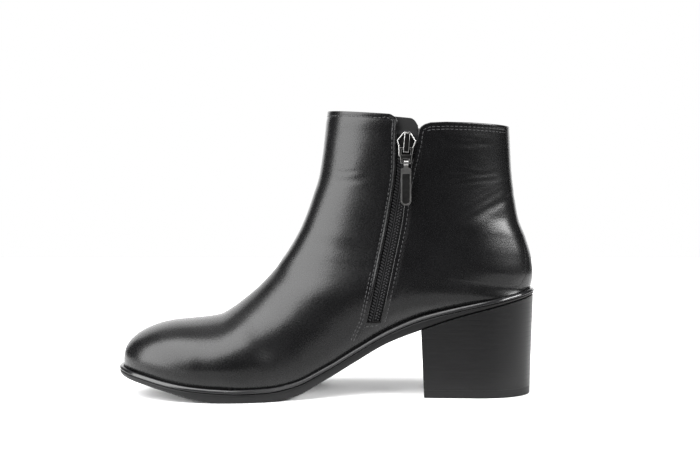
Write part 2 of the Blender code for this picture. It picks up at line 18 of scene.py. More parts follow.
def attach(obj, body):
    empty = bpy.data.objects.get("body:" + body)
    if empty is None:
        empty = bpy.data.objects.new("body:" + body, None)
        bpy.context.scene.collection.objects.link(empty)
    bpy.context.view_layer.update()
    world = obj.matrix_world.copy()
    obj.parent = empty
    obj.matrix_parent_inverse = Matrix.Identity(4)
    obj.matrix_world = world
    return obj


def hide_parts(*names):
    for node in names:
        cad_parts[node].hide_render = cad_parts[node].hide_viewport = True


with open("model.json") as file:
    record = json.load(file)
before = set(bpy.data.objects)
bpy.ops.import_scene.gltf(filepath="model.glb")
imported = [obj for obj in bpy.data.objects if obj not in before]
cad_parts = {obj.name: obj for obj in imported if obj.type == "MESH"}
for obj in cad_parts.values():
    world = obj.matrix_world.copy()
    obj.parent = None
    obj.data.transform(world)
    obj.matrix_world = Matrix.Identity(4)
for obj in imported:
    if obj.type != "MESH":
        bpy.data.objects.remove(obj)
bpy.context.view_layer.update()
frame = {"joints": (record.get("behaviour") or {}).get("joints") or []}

bl_info = {
    "name": "Ankle Boot",
    "version": (1, 0, 0),
    "blender": (4, 5, 0),
    "location": "3D View > Sidebar > Ankle Boot",
    "description": "Dresses the solids of a zipped ankle boot",
    "category": "Object",
}

MM = 0.001
WELD = 0.002
MEDIAL, LATERAL = -1, 1
BOOT, LINK, TAB = "boot", "pull_link", "pull_tab"

# Ends of the feather line, where the upper meets the welt, and how far in each end is rounded
TOE_X, HEEL_X = -123.4, 123.4
TOE_REACH, HEEL_REACH, END_POWER = 48.0, 38.0, 2.5
TIP_Z, CAP_REACH = 22.0, 43.0

# The outer ball sits further back than the inner one
BALL_LAG = 16.0
BALL_START, BALL_FRONT, BALL_BACK, BALL_END = -124.0, -85.0, -30.0, 30.0

# The outer side's collar dips behind its front part
DIP_X, DIP_REACH, DIP_DEPTH, DIP_ACROSS = 66.0, 30.0, 4.2, 24.0
DIP_LOW, DIP_HIGH = 128.0, 161.0

# Wall of the solid upper, and the layers of the sole
WALL, GAP = 1.8, 0.3
WELT_THICK = 2.2
INSOLE_LIFT, INSOLE_THICK = 0.3, 2.4
BREAST_TOP_X, BREAST_FLOOR_X, LIFT_TOP = 55.8, 57.5, 4.6
BREAST_TURN, BREAST_END_X, BREAST_INNER_Y = 0.075, 100.0, -26.0

# Rays that find the leather's face start well outside it
RAY_START = 200.0


class SoleRow(NamedTuple):
    """Heights on the inner edge, and the plan outline of the feather line."""

    name: str
    x: float
    feather: float
    tread: float
    centre: float
    half_width: float


SOLE = [
    SoleRow("tip", -123.4, 18.4, 12.3, -6.0, 31.0),
    SoleRow("toe", -106.0, 14.6, 8.6, -4.6, 32.3),
    SoleRow("toe joint", -92.0, 11.8, 5.5, -3.4, 35.2),
    SoleRow("toe roll", -78.0, 9.65, 1.9, -2.2, 37.8),
    SoleRow("tread front", -64.0, 8.45, 0.0, -1.1, 39.7),
    SoleRow("inner ball", -52.0, 8.0, 0.0, -0.4, 40.4),
    SoleRow("outer ball", -35.0, 8.3, 0.0, 1.4, 38.9),
    SoleRow("tread back", -20.0, 10.6, 1.9, 3.1, 35.8),
    SoleRow("arch front", 0.0, 19.5, 11.6, 4.2, 31.0),
    SoleRow("arch", 17.0, 29.5, 21.5, 4.1, 27.8),
    SoleRow("waist", 36.0, 40.4, 32.5, 3.2, 25.9),
    SoleRow("breast", 56.0, 48.9, 40.5, 1.8, 25.5),
    SoleRow("seat front", 72.0, 53.2, 46.4, 0.8, 25.9),
    SoleRow("seat", 100.0, 59.3, 54.2, 0.0, 26.3),
    SoleRow("heel back", 123.4, 64.4, 60.0, 0.0, 26.3),
]


class FootRow(NamedTuple):
    """Sections of the foot, each from a point on the feather line to a point on the ridge."""

    name: str
    bottom_x: float
    top_x: float
    top_z: float
    ridge_y: float
    width: float
    belly_at: float
    wall_power: float
    crown: float


FOOT = [
    FootRow("tip", -123.4, -123.4, 44.4, -5.5, 31.8, 0.22, 2.0, 2.2),
    FootRow("toe cap", -88.0, -88.0, 45.0, -3.5, 37.3, 0.225, 2.0, 2.1),
    FootRow("vamp", -75.0, -77.0, 45.8, -2.6, 39.9, 0.235, 2.0, 2.0),
    FootRow("ball", -55.0, -66.0, 47.5, -1.6, 42.2, 0.255, 2.0, 1.9),
    FootRow("outer ball", -35.0, -57.5, 52.1, -0.8, 41.2, 0.29, 2.0, 1.9),
    FootRow("tread", -15.0, -51.0, 56.9, -0.4, 37.6, 0.32, 2.0, 1.9),
    FootRow("arch", 5.0, -46.0, 61.0, 0.0, 34.2, 0.34, 2.1, 1.9),
    FootRow("waist", 25.0, -41.5, 64.9, 0.0, 32.2, 0.36, 2.2, 1.95),
    FootRow("instep", 45.0, -37.5, 68.9, 0.0, 31.2, 0.38, 2.3, 2.0),
    FootRow("short heel", 65.0, -34.0, 72.7, 0.0, 30.5, 0.40, 2.4, 2.03),
    FootRow("counter", 85.0, -31.0, 76.4, 0.0, 30.0, 0.42, 2.5, 2.08),
    FootRow("long heel", 105.0, -28.2, 80.5, 0.0, 29.7, 0.44, 2.5, 2.15),
    FootRow("heel back", 123.4, -25.5, 84.2, 0.0, 29.5, 0.45, 2.49, 2.25),
]


class ShaftRow(NamedTuple):
    """Sections of the shaft, each from the back seam to the front."""

    name: str
    back_z: float
    back_x: float
    front_x: float
    front_z: float
    width: float
    belly_at: float
    wall_power: float
    crown: float


SHAFT = [
    ShaftRow("heel back", 64.4, 123.4, -25.5, 84.2, 29.5, 0.45, 2.49, 2.25),
    ShaftRow("counter", 72.0, 124.4, -20.5, 92.1, 29.15, 0.45, 2.8, 2.22),
    ShaftRow("counter top", 82.0, 123.5, -16.3, 100.0, 28.9, 0.46, 2.7, 2.28),
    ShaftRow("ankle", 94.5, 120.2, -12.0, 110.5, 28.6, 0.47, 2.55, 2.28),
    ShaftRow("above ankle", 106.0, 115.8, -8.6, 120.3, 28.7, 0.48, 2.4, 2.28),
    ShaftRow("low shaft", 122.0, 113.0, -5.2, 131.0, 29.2, 0.49, 2.3, 2.28),
    ShaftRow("shaft", 138.0, 111.3, -3.2, 143.0, 29.9, 0.50, 2.3, 2.29),
    ShaftRow("high shaft", 150.0, 110.6, -1.5, 157.0, 30.6, 0.50, 2.3, 2.30),
    ShaftRow("collar", 161.9, 110.05, 0.3, 170.5, 31.0, 0.50, 2.3, 2.30),
]


class ZipRow(NamedTuple):
    """Front and back edge of the slot at a height on the inner side of the shaft."""

    name: str
    z: float
    front_x: float
    back_x: float


ZIP = [
    ZipRow("bottom", 45.0, 23.4, 31.8),
    ZipRow("low", 75.0, 29.8, 38.2),
    ZipRow("middle", 105.5, 36.0, 44.4),
    ZipRow("bend", 128.0, 39.7, 47.7),
    ZipRow("slider", 150.0, 41.3, 49.9),
]

# Edges of the two panels in X and Z from below the slider up, round their corners and out to the collar
SLOT_FRONT = [(38.2, 118.5), (39.6, 127.5), (40.5, 136.0), (40.6, 146.0), (40.7, 153.0)]
SLOT_BACK = [(46.0, 118.5), (47.6, 127.5), (49.3, 136.0), (51.5, 145.0), (52.8, 150.5)]
FRONT_CORNER = [(40.9, 158.0), (41.3, 161.5), (41.2, 163.9), (39.9, 165.8), (37.4, 167.3), (34.0, 168.4)]
BACK_CORNER = [(53.5, 155.6), (53.9, 158.3), (55.1, 160.1), (57.2, 161.5), (60.5, 162.5), (70.0, 162.9)]
BACK_COLLAR = [(85.0, 162.6), (100.0, 161.9), (113.0, 161.1)]
SEAM_FOOT = [(17.9, 32.6), (19.9, 37.5)]
ABOVE_COLLAR = 182.0
EDGE_STEPS = 10


class CreaseRow(NamedTuple):
    """A soft fold on one side: its ends in X and Z, its width, its depth and its bend."""

    name: str
    side: int
    start_x: float
    start_z: float
    end_x: float
    end_z: float
    width: float
    depth: float
    bend: float


CREASES = [
    CreaseRow("ankle main", MEDIAL, 58.0, 96.0, 120.0, 131.0, 1.5, 0.17, 1.5),
    CreaseRow("ankle high", MEDIAL, 66.0, 106.5, 121.0, 134.0, 1.0, 0.10, 1.2),
    CreaseRow("ankle fold", MEDIAL, 72.0, 99.0, 122.0, 125.0, 2.4, 0.18, 1.0),
    CreaseRow("ankle fine", MEDIAL, 72.0, 103.0, 119.0, 127.6, 0.8, 0.09, 1.2),
    CreaseRow("ankle across", MEDIAL, 58.0, 128.6, 108.0, 135.0, 1.1, 0.07, -0.8),
    CreaseRow("ankle across low", MEDIAL, 56.0, 125.6, 104.0, 130.4, 1.0, 0.07, -0.6),
    CreaseRow("shaft faint", MEDIAL, 70.0, 134.0, 92.0, 132.4, 1.0, 0.08, 0.5),
    CreaseRow("collar back", MEDIAL, 62.0, 152.4, 100.0, 150.4, 1.3, 0.10, -0.6),
    CreaseRow("collar back fine", MEDIAL, 66.0, 155.0, 96.0, 152.8, 0.9, 0.07, -0.5),
    CreaseRow("collar back low", MEDIAL, 64.0, 149.2, 90.0, 148.4, 1.0, 0.06, 0.4),
    CreaseRow("collar corner", MEDIAL, 59.0, 160.0, 72.0, 149.5, 1.3, 0.14, 0.8),
    CreaseRow("front shaft", MEDIAL, 1.0, 128.5, 26.0, 131.0, 1.8, 0.09, -1.2),
    CreaseRow("front shaft fine", MEDIAL, 4.0, 134.0, 20.0, 135.0, 1.2, 0.07, -1.0),
    CreaseRow("waist pull", MEDIAL, 52.0, 93.0, 86.0, 97.0, 3.0, 0.10, 2.0),
    CreaseRow("outer ankle main", LATERAL, 62.0, 109.0, 111.0, 121.5, 2.8, 0.70, 2.5),
    CreaseRow("outer ankle high", LATERAL, 74.0, 118.0, 109.0, 130.0, 2.0, 0.46, 2.0),
    CreaseRow("outer ankle fine", LATERAL, 70.0, 103.0, 113.0, 112.0, 2.0, 0.34, 1.8),
    CreaseRow("outer front", LATERAL, 0.0, 124.0, 36.0, 121.0, 2.2, 0.34, -2.0),
    CreaseRow("outer front fine", LATERAL, -2.0, 129.0, 26.0, 128.0, 1.4, 0.24, -1.2),
    CreaseRow("outer instep", LATERAL, -12.0, 110.0, 20.0, 103.0, 2.6, 0.28, -2.0),
    CreaseRow("outer collar", LATERAL, 50.0, 151.0, 96.0, 152.5, 2.0, 0.26, -1.5),
    CreaseRow("outer vamp", LATERAL, -66.0, 40.0, -44.0, 29.0, 4.0, 0.20, 1.5),
]

# How finely the leather is drawn: along the toe, the foot, the heel and the shaft, and over a section
TOE_STEPS, WAIST_STEPS, HEEL_STEPS, SHAFT_STEPS = 26, 68, 18, 116
WALL_STEPS, ZIP_STEPS, CROWN_STEPS = 40, 32, 22
ZIP_REACH = 0.44


class Section(NamedTuple):
    """One section of the upper, from its two lower edges to its ridge."""

    bottoms: dict
    top: Vector
    seat_width: float
    width: float
    belly_at: float
    wall_power: float
    crown: float


def row_slope(keys, heights, place):
    """Slope of a curve at a table row, flat at a peak so that the curve never overshoots."""
    before = max(place - 1, 0)
    after = min(place + 1, len(keys) - 1)
    if before == place or after == place:
        return (heights[after] - heights[before]) / (keys[after] - keys[before])
    step_in = keys[place] - keys[before]
    step_out = keys[after] - keys[place]
    rise_in = (heights[place] - heights[before]) / step_in
    rise_out = (heights[after] - heights[place]) / step_out
    if rise_in * rise_out <= 0.0:
        return 0.0
    weight_in = 2.0 * step_out + step_in
    weight_out = step_out + 2.0 * step_in
    return (weight_in + weight_out) / (weight_in / rise_in + weight_out / rise_out)


def between(rows, at):
    """The row of a table at any value of its first number column."""
    keys = [row[1] for row in rows]
    at = min(max(at, keys[0]), keys[-1])
    index = min(bisect.bisect_right(keys, at), len(keys) - 1) - 1
    step = keys[index + 1] - keys[index]
    share = (at - keys[index]) / step
    values = [at]
    for column in range(2, len(rows[0])):
        heights = [row[column] for row in rows]
        start, end = heights[index], heights[index + 1]
        start_slope = row_slope(keys, heights, index) * step
        end_slope = row_slope(keys, heights, index + 1) * step
        rise = end - start
        value = start + share * (
            start_slope
            + share * (3.0 * rise - 2.0 * start_slope - end_slope)
            + share * share * (start_slope + end_slope - 2.0 * rise)
        )
        values.append(value)
    return type(rows[0])("", *values)


def rounded_end(distance, reach):
    """Rounded end: 0 at the tip, 1 from reach inwards, without a jump in curvature."""
    left = min(max(0.0, 1.0 - distance / reach), 1.0)
    return math.sqrt(1.0 - left**END_POWER)


def ramp(value, low, high):
    """Smooth step from 0 at low to 1 at high."""
    share = min(max((value - low) / (high - low), 0.0), 1.0)
    return share * share * (3.0 - 2.0 * share)


def bell(value, width):
    """Smooth hump of height 1 that fades over a width."""
    return math.exp(-(value / width) ** 2)


def seat_half_width(x):
    """Half width of the feather line."""
    ends = rounded_end(x - TOE_X, TOE_REACH) * rounded_end(HEEL_X - x, HEEL_REACH)
    return between(SOLE, x).half_width * ends


def medial_x(x, y):
    """Place along the inner edge that has the same sole height as the point at x and y."""
    row = between(SOLE, x)
    across = 0.5 + 0.5 * (y - row.centre) / row.half_width
    fade = ramp(x, BALL_START, BALL_FRONT) * (1.0 - ramp(x, BALL_BACK, BALL_END))
    return x - BALL_LAG * fade * across


def feather_height(x, y):
    """Height of the feather line's surface."""
    return between(SOLE, medial_x(x, y)).feather


def tread_height(x, y):
    """Height of the sole's underside."""
    return between(SOLE, medial_x(x, y)).tread


def foot_section(x):
    """Section that starts on the feather line at x."""
    row = between(FOOT, x)
    toe = rounded_end(x - TOE_X, TOE_REACH)
    cap = rounded_end(x - TOE_X, CAP_REACH)
    seat = seat_half_width(x)
    centre = between(SOLE, x).centre
    bottoms = {}
    for side in (MEDIAL, LATERAL):
        bottoms[side] = Vector((x, centre, feather_height(x, centre + side * seat)))
    top = Vector((row.top_x, row.ridge_y, TIP_Z + (row.top_z - TIP_Z) * cap))
    return Section(bottoms, top, seat, row.width * toe, row.belly_at, row.wall_power, row.crown)


def shaft_section(back_z):
    """Section that starts on the back seam at back_z."""
    row = between(SHAFT, back_z)
    bottom = Vector((row.back_x, 0.0, back_z))
    top = Vector((row.front_x, 0.0, row.front_z))
    bottoms = {MEDIAL: bottom, LATERAL: bottom}
    return Section(bottoms, top, 0.0, row.width, row.belly_at, row.wall_power, row.crown)


def half_width_at(section, share):
    """Half width of a section at a share of the way from its bottom to its ridge."""
    if section.width < WELD:
        return 0.0
    if share < section.belly_at:
        power = section.wall_power
        seat = (section.seat_width / section.width) ** power
        lost = (1.0 - seat) * ((section.belly_at - share) / section.belly_at) ** power
    else:
        power = section.crown
        lost = ((share - section.belly_at) / (1.0 - section.belly_at)) ** power
    return section.width * max(0.0, 1.0 - lost) ** (1.0 / power)


def collar_dip(x, y, z):
    """How far the outer side's collar dips at a point of the shaft."""
    return DIP_DEPTH * bell(x - DIP_X, DIP_REACH) * ramp(z, DIP_LOW, DIP_HIGH) * ramp(y, 0.0, DIP_ACROSS)


def section_points(section):
    """Points over a section, from its inner edge over the ridge to its outer edge."""
    quarter = 0.5 * math.pi
    belly = section.belly_at
    shares = [belly * (1.0 - math.cos(quarter * step / WALL_STEPS)) for step in range(WALL_STEPS)]
    rises = [ZIP_REACH * step / ZIP_STEPS for step in range(ZIP_STEPS)]
    for step in range(CROWN_STEPS):
        rises.append(ZIP_REACH + (1.0 - ZIP_REACH) * math.sin(quarter * step / CROWN_STEPS))
    shares += [belly + (1.0 - belly) * rise for rise in rises]
    sides = {}
    for side, bottom in section.bottoms.items():
        sides[side] = []
        for share in shares:
            out = Vector((0.0, side * half_width_at(section, share), 0.0))
            sides[side].append(bottom.lerp(section.top, share) + out)
    for point in sides[LATERAL]:
        point.z -= collar_dip(*point)
    return sides[MEDIAL] + [section.top] + sides[LATERAL][::-1]


def heel_stations(start):
    """Places from start to the back of the heel, closer together at the back."""
    quarter = 0.5 * math.pi
    reach = HEEL_X - start
    return [start + reach * math.sin(quarter * step / HEEL_STEPS) for step in range(HEEL_STEPS + 1)]


def foot_stations():
    """Places along the feather line, closer together at its rounded ends."""
    quarter = 0.5 * math.pi
    toe_end = TOE_X + CAP_REACH
    heel_start = HEEL_X - HEEL_REACH
    waist = (heel_start - toe_end) / WAIST_STEPS
    toe = [TOE_X + CAP_REACH * (1.0 - math.cos(quarter * step / TOE_STEPS)) for step in range(TOE_STEPS)]
    middle = [toe_end + waist * step for step in range(WAIST_STEPS)]
    return toe + middle + heel_stations(heel_start)


def upper_rows():
    """Rows of points over the outer face of the leather, from the toe to the collar."""
    low, high = SHAFT[0].back_z, SHAFT[-1].back_z
    sections = [foot_section(x) for x in foot_stations()]
    for step in range(1, SHAFT_STEPS + 1):
        sections.append(shaft_section(low + (high - low) * step / SHAFT_STEPS))
    return [section_points(section) for section in sections]


def outline(stations, margin):
    """Pairs of plan points, inner and outer, set out by margin from the feather line."""
    edges = {}
    for side in (MEDIAL, LATERAL):
        edges[side] = []
        for x in stations:
            edges[side].append(Vector((x, between(SOLE, x).centre + side * seat_half_width(x))))
    last = len(stations) - 1
    pairs = []
    for index in range(len(stations)):
        pair = []
        for side in (MEDIAL, LATERAL):
            points, others = edges[side], edges[-side]
            meets = (points[index] - others[index]).length < WELD
            before = points[index - 1] if index else (others[1] if meets else points[0])
            after = points[index + 1] if index < last else (others[-2] if meets else points[-1])
            along = (after - before).normalized()
            pair.append(points[index] + margin * side * Vector((-along.y, along.x)))
        pairs.append(pair)
    return pairs


def grid_on(rows):
    """A grid moved onto rows of points, with its doubles merged."""
    along, across = len(rows) - 1, len(rows[0]) - 1
    mesh = bmesh.new()
    bmesh.ops.create_grid(mesh, x_segments=along, y_segments=across, size=1.0)
    for vert in mesh.verts:
        row = round(0.5 * (vert.co.x + 1.0) * along)
        column = round(0.5 * (vert.co.y + 1.0) * across)
        vert.co = rows[row][column]
    bmesh.ops.remove_doubles(mesh, verts=mesh.verts, dist=WELD)
    bmesh.ops.dissolve_degenerate(mesh, edges=mesh.edges, dist=WELD)
    mesh.normal_update()
    return mesh


def close_ends(mesh):
    """Fills open ends and turns all faces outwards."""
    rims = [edge for edge in mesh.edges if edge.is_boundary]
    if rims:
        bmesh.ops.holes_fill(mesh, edges=rims)
    bmesh.ops.recalc_face_normals(mesh, faces=mesh.faces)
    return mesh


def gap_to_line(place, line):
    """Distance in the XZ plane from a point to a line of points, and the side it lies on."""
    best, signed = None, 0.0
    for start, end in zip(line, line[1:]):
        along = end - start
        share = min(max((place - start).dot(along) / along.length_squared, 0.0), 1.0)
        away = place - start.lerp(end, share)
        if best is None or away.length < best:
            best = away.length
            signed = best if along.cross(away) >= 0.0 else -best
    return signed


# The folded and stitched edges of the leather
FOLD_RISE, FOLD_START, FOLD_END = 0.20, 1.9, 2.6
GROOVE_DEPTH, GROOVE_AT, GROOVE_WIDTH = 0.22, 2.5, 0.5
PUFF_RISE, PUFF_AT, PUFF_WIDTH = 0.24, 6.5, 4.0
EDGE_REACH, EDGE_LOW_Z, EDGE_MIDDLE_X, EDGE_SPAN = 16.0, 20.0, 45.0, 110.0
COLLAR_SLOPE = (SHAFT[-1].back_z - SHAFT[-1].front_z) / (SHAFT[-1].back_x - SHAFT[-1].front_x)


def line_of(points):
    """Points in X and Z as plane vectors."""
    return [Vector(point) for point in points]


def slot_edge(column):
    """One edge of the slot in X and Z, from its bottom to its middle."""
    low, high = ZIP[0].z, ZIP[2].z
    heights = [low + (high - low) * step / EDGE_STEPS for step in range(EDGE_STEPS + 1)]
    return [(getattr(between(ZIP, z), column), z) for z in heights]


FRONT_EDGE = line_of(slot_edge("front_x") + SLOT_FRONT + FRONT_CORNER)
FRONT_SEAM = line_of(SEAM_FOOT) + FRONT_EDGE
BACK_EDGE = line_of(slot_edge("back_x") + SLOT_BACK + BACK_CORNER + BACK_COLLAR)


def set_off(line, distance):
    """A line beside another, at a distance to its left."""
    moved = []
    for index, point in enumerate(line):
        along = (line[min(index + 1, len(line) - 1)] - line[max(index - 1, 0)]).normalized()
        moved.append(point + distance * Vector((-along.y, along.x)))
    return moved


def collar_drop(x, z):
    """How far a point lies below the collar's edge."""
    return SHAFT[-1].front_z + COLLAR_SLOPE * (x - SHAFT[-1].front_x) - z


# A fold is a trough between two ridges, which fades towards both ends
CREASE_GROWN, CREASE_FADES = 0.35, 0.75
LEFT_RIDGE, RIGHT_RIDGE, RIDGE_OFF, RIDGE_WIDTH = 0.55, 0.35, 1.9, 1.2

# Slight unevenness of the leather: rise and size of its bumps
UNEVEN = [(0.09, 17.0), (0.03, 6.0)]


def crease_height(point):
    """Height of the soft folds at a point of the leather."""
    height = 0.0
    side = MEDIAL if point.y < 0.0 else LATERAL
    for row in CREASES:
        if row.side != side:
            continue
        start = Vector((row.start_x, row.start_z))
        along = Vector((row.end_x, row.end_z)) - start
        away = Vector((point.x, point.z)) - start
        share = away.dot(along) / along.length_squared
        if not 0.0 < share < 1.0:
            continue
        off = along.cross(away) / along.length - row.bend * 4.0 * share * (1.0 - share)
        fade = ramp(share, 0.0, CREASE_GROWN) * (1.0 - ramp(share, CREASE_FADES, 1.0))
        trough = bell(off, row.width)
        ridge = LEFT_RIDGE * bell(off - RIDGE_OFF * row.width, RIDGE_WIDTH * row.width)
        ridge += RIGHT_RIDGE * bell(off + RIDGE_OFF * row.width, RIDGE_WIDTH * row.width)
        height += row.depth * fade * (ridge - trough)
    return height


def fold_height(gap):
    """Height of a turned edge with its stitch groove, at a distance from the edge."""
    height = FOLD_RISE * (1.0 - ramp(gap, FOLD_START, FOLD_END))
    height -= GROOVE_DEPTH * bell(gap - GROOVE_AT, GROOVE_WIDTH)
    return height + PUFF_RISE * bell(gap - PUFF_AT, PUFF_WIDTH)


def edge_height(point):
    """Height of the turned collar, and of the lapped seam on the outer side."""
    gap = collar_drop(point.x, point.z) - collar_dip(point.x, point.y, DIP_HIGH)
    height = fold_height(gap) if gap < EDGE_REACH else 0.0
    if point.y > 0.0:
        seam = gap_to_line(Vector((point.x, point.z)), FRONT_SEAM)
        return height + (fold_height(seam) if 0.0 < seam < EDGE_REACH else 0.0)
    if gap_to_line(Vector((point.x, point.z)), FRONT_SEAM) < 0.0 and point.x < BACK_EDGE[-1].x:
        return 0.0
    return height


def leather_height(point):
    """All relief of the leather: folds, edges, and a slight unevenness."""
    height = crease_height(point)
    if point.z > EDGE_LOW_Z and abs(point.x - EDGE_MIDDLE_X) < EDGE_SPAN:
        height += edge_height(point)
    for rise, size in UNEVEN:
        height += rise * noise.noise(point / size)
    return height


# How near a face has to lie to be cut, and how near to a point a cut joins it
CUT_REACH, CUT_SNAP = 3.0, 0.01


def cut_along(mesh, line):
    """Cuts the inner side's faces along a line in X and Z."""
    for start, end in zip(line, line[1:]):
        along = end - start
        near = []
        for face in mesh.faces:
            middle = face.calc_center_median()
            if middle.y > 0.0:
                continue
            away = Vector((middle.x, middle.z)) - start
            share = away.dot(along) / along.length
            off = abs(along.cross(away)) / along.length
            if -CUT_REACH < share < along.length + CUT_REACH and off < CUT_REACH:
                near.append(face)
        parts = set(near)
        for face in near:
            parts.update(face.edges)
            parts.update(face.verts)
        across = Vector((along.y, 0.0, -along.x)).normalized()
        through = Vector((start.x, 0.0, start.y))
        bmesh.ops.bisect_plane(mesh, geom=list(parts), dist=CUT_SNAP, plane_co=through, plane_no=across)


def inside(place, corners):
    """True where a plane point lies inside a closed line of corners."""
    within = False
    for start, end in zip(corners, corners[1:] + corners[:1]):
        if (start.y > place.y) != (end.y > place.y):
            crossing = start.x + (place.y - start.y) * (end.x - start.x) / (end.y - start.y)
            within ^= place.x < crossing
    return within


def cut_slot(mesh):
    """Opens the slot of the zip and rounds the panels' corners above it."""
    above = line_of([(FRONT_EDGE[-1].x, ABOVE_COLLAR), (BACK_EDGE[-1].x, ABOVE_COLLAR)])
    hole = FRONT_EDGE + above + BACK_EDGE[::-1]
    for line in (FRONT_EDGE, BACK_EDGE, [BACK_EDGE[0], FRONT_EDGE[0]]):
        cut_along(mesh, line)
    gone = []
    for face in mesh.faces:
        middle = face.calc_center_median()
        if middle.y < 0.0 and inside(Vector((middle.x, middle.z)), hole):
            gone.append(face)
    bmesh.ops.delete(mesh, geom=gone, context="FACES")
    mesh.normal_update()


class Leather:
    """The outer face of the leather before and after its relief, for pieces that follow it."""

    smooth = None
    worked = None


def on_leather(tree, x, z):
    """Place and outward normal of the leather's inner side at X and Z."""
    place, normal, _, _ = tree.ray_cast(Vector((x, -RAY_START, z)), Vector((0.0, 1.0, 0.0)))
    return place, normal


# Folded facings beside the slot: distance from its edge and height over the leather
FACING_LIP = [(-0.10, -0.5), (-0.12, -0.1), (-0.02, 0.12)]
FRONT_FACING = [*FACING_LIP, (0.2, 0.27), (0.5, 0.33), (0.85, 0.30), (1.2, 0.21), (1.6, 0.10), (2.0, 0.03)]
FRONT_FACING += [(2.45, 0.02), (2.9, 0.03), (3.5, 0.05), (4.4, 0.06), (5.6, 0.05), (7.2, 0.01)]
FRONT_FACING += [(9.0, -0.05), (10.4, -0.1), (10.4, -0.5)]
BACK_FACING = [*FACING_LIP, (0.2, 0.24), (0.6, 0.28), (1.2, 0.25), (1.8, 0.17), (2.3, 0.07), (2.8, 0.02)]
BACK_FACING += [(3.2, 0.06), (3.7, 0.16), (4.3, 0.28), (4.9, 0.34), (5.7, 0.34), (6.9, 0.27)]
BACK_FACING += [(8.3, 0.13), (9.8, 0.02), (10.6, -0.05), (10.6, -0.5)]
FACING_PITCH, FACING_BEND, FACING_SUNK = 0.9, 2.9, 0.06
FADE_FROM, FADE_END, TURN_REACH = -1.0, 7.0, 2
NARROW_SHARE, NARROW_LOW, NARROW_HIGH, NARROW_SUNK = 0.88, 143.0, 155.0, 0.05


def along_line(line, pitch):
    """Evenly spaced points on a line, its end among them, each with its direction."""
    places = [(line[0], (line[1] - line[0]).normalized())]
    places += spaced(line, pitch)
    return places + [(line[-1], (line[-1] - line[-2]).normalized())]


def facing(line, profile, side):
    """A leather band with a shaped section along an edge of the slot, narrower round the upper corner."""
    places = along_line(line, FACING_PITCH)
    turned = []
    for index in range(len(places)):
        near = places[max(index - TURN_REACH, 0) : index + TURN_REACH + 1]
        way = sum((along for _, along in near), Vector((0.0, 0.0)))
        turned.append((places[index][0], way.normalized()))
    last = len(turned) - 1
    rows = []
    for index, (at, along) in enumerate(turned):
        fade = ramp(FACING_PITCH * index, FADE_FROM, FADE_END)
        fade *= ramp(FACING_PITCH * (last - index), FADE_FROM, FADE_END)
        narrow = 1.0 - NARROW_SHARE * ramp(at.y, NARROW_LOW, NARROW_HIGH)
        away = side * Vector((-along.y, along.x))
        ring = []
        for gap, height in profile:
            if gap > FACING_BEND:
                gap = FACING_BEND + narrow * (gap - FACING_BEND)
                height = height * narrow - NARROW_SUNK * (1.0 - narrow)
            spot = at + gap * away
            place, normal = on_leather(Leather.smooth, spot.x, spot.y)
            if place is None:
                break
            lift = height if height < 0.0 else height * fade - FACING_SUNK * (1.0 - fade)
            ring.append(place + normal * (lift + leather_height(place)))
        if len(ring) == len(profile):
            rows.append(ring + ring[:1])
    return close_ends(grid_on(rows))


class StayRow(NamedTuple):
    """Half width of the back stay at a height."""

    name: str
    z: float
    half_width: float


STAY = [
    StayRow("seat", 62.0, 19.0),
    StayRow("counter", 75.0, 17.4),
    StayRow("counter top", 95.0, 13.4),
    StayRow("ankle", 112.0, 12.2),
    StayRow("collar", 163.0, 14.8),
]
STAY_EDGE = [(-1.0, -0.3), (-0.99, 0.13), (-0.965, 0.20), (-0.92, 0.23), (-0.8, 0.24)]
STAY_ACROSS, STAY_PITCH, STAY_THICK, STAY_SUNK = 11, 0.8, 0.24, 0.5
STAY_FRONT_X = 60.0


def back_stay():
    """A strip of leather over the back seam, wider at the counter and at the collar."""
    flat = STAY_EDGE[-1][0]
    profile = list(STAY_EDGE)
    profile += [(flat - 2.0 * flat * step / STAY_ACROSS, STAY_THICK) for step in range(1, STAY_ACROSS)]
    profile += [(-share, height) for share, height in STAY_EDGE[::-1]]
    count = int((STAY[-1].z - STAY[0].z) / STAY_PITCH)
    rows = []
    for step in range(count + 1):
        z = STAY[0].z + STAY_PITCH * step
        half = between(STAY, z).half_width
        over, under = [], []
        for share, height in profile:
            start = Vector((RAY_START, share * half, z))
            place, normal, _, _ = Leather.worked.ray_cast(start, Vector((-1.0, 0.0, 0.0)))
            if place is None or place.x < STAY_FRONT_X:
                break
            over.append(place + normal * height)
            under.append(place - normal * STAY_SUNK)
        if len(over) == len(profile):
            rows.append(over + under[::-1] + over[:1])
    return close_ends(grid_on(rows))


def move_out(mesh, height):
    """Moves all points along their normals by a height that depends on the place."""
    moves = [(vert, vert.normal * height(vert.co)) for vert in mesh.verts]
    for vert, move in moves:
        vert.co += move


def leather_sheet():
    """The outer face of the leather with its slot and relief."""
    mesh = grid_on(upper_rows())
    Leather.smooth = BVHTree.FromBMesh(mesh)
    cut_slot(mesh)
    move_out(mesh, leather_height)
    mesh.normal_update()
    Leather.worked = BVHTree.FromBMesh(mesh)
    return mesh


# Depth of the grain, roughness of the guard, and the rounding of edges
UPPER_GRAIN, GUARD_GRAIN, GUARD_GLOSS = 0.065, 0.04, 0.58
LEATHER_ROUND, HEEL_ROUND, SLIDER_ROUND, LINK_ROUND, TAB_ROUND = 0.4, 0.25, 0.3, 0.25, 0.22
SHARP_ANGLE = math.radians(50.0)
SOFTEN_ANGLE = math.radians(40.0)


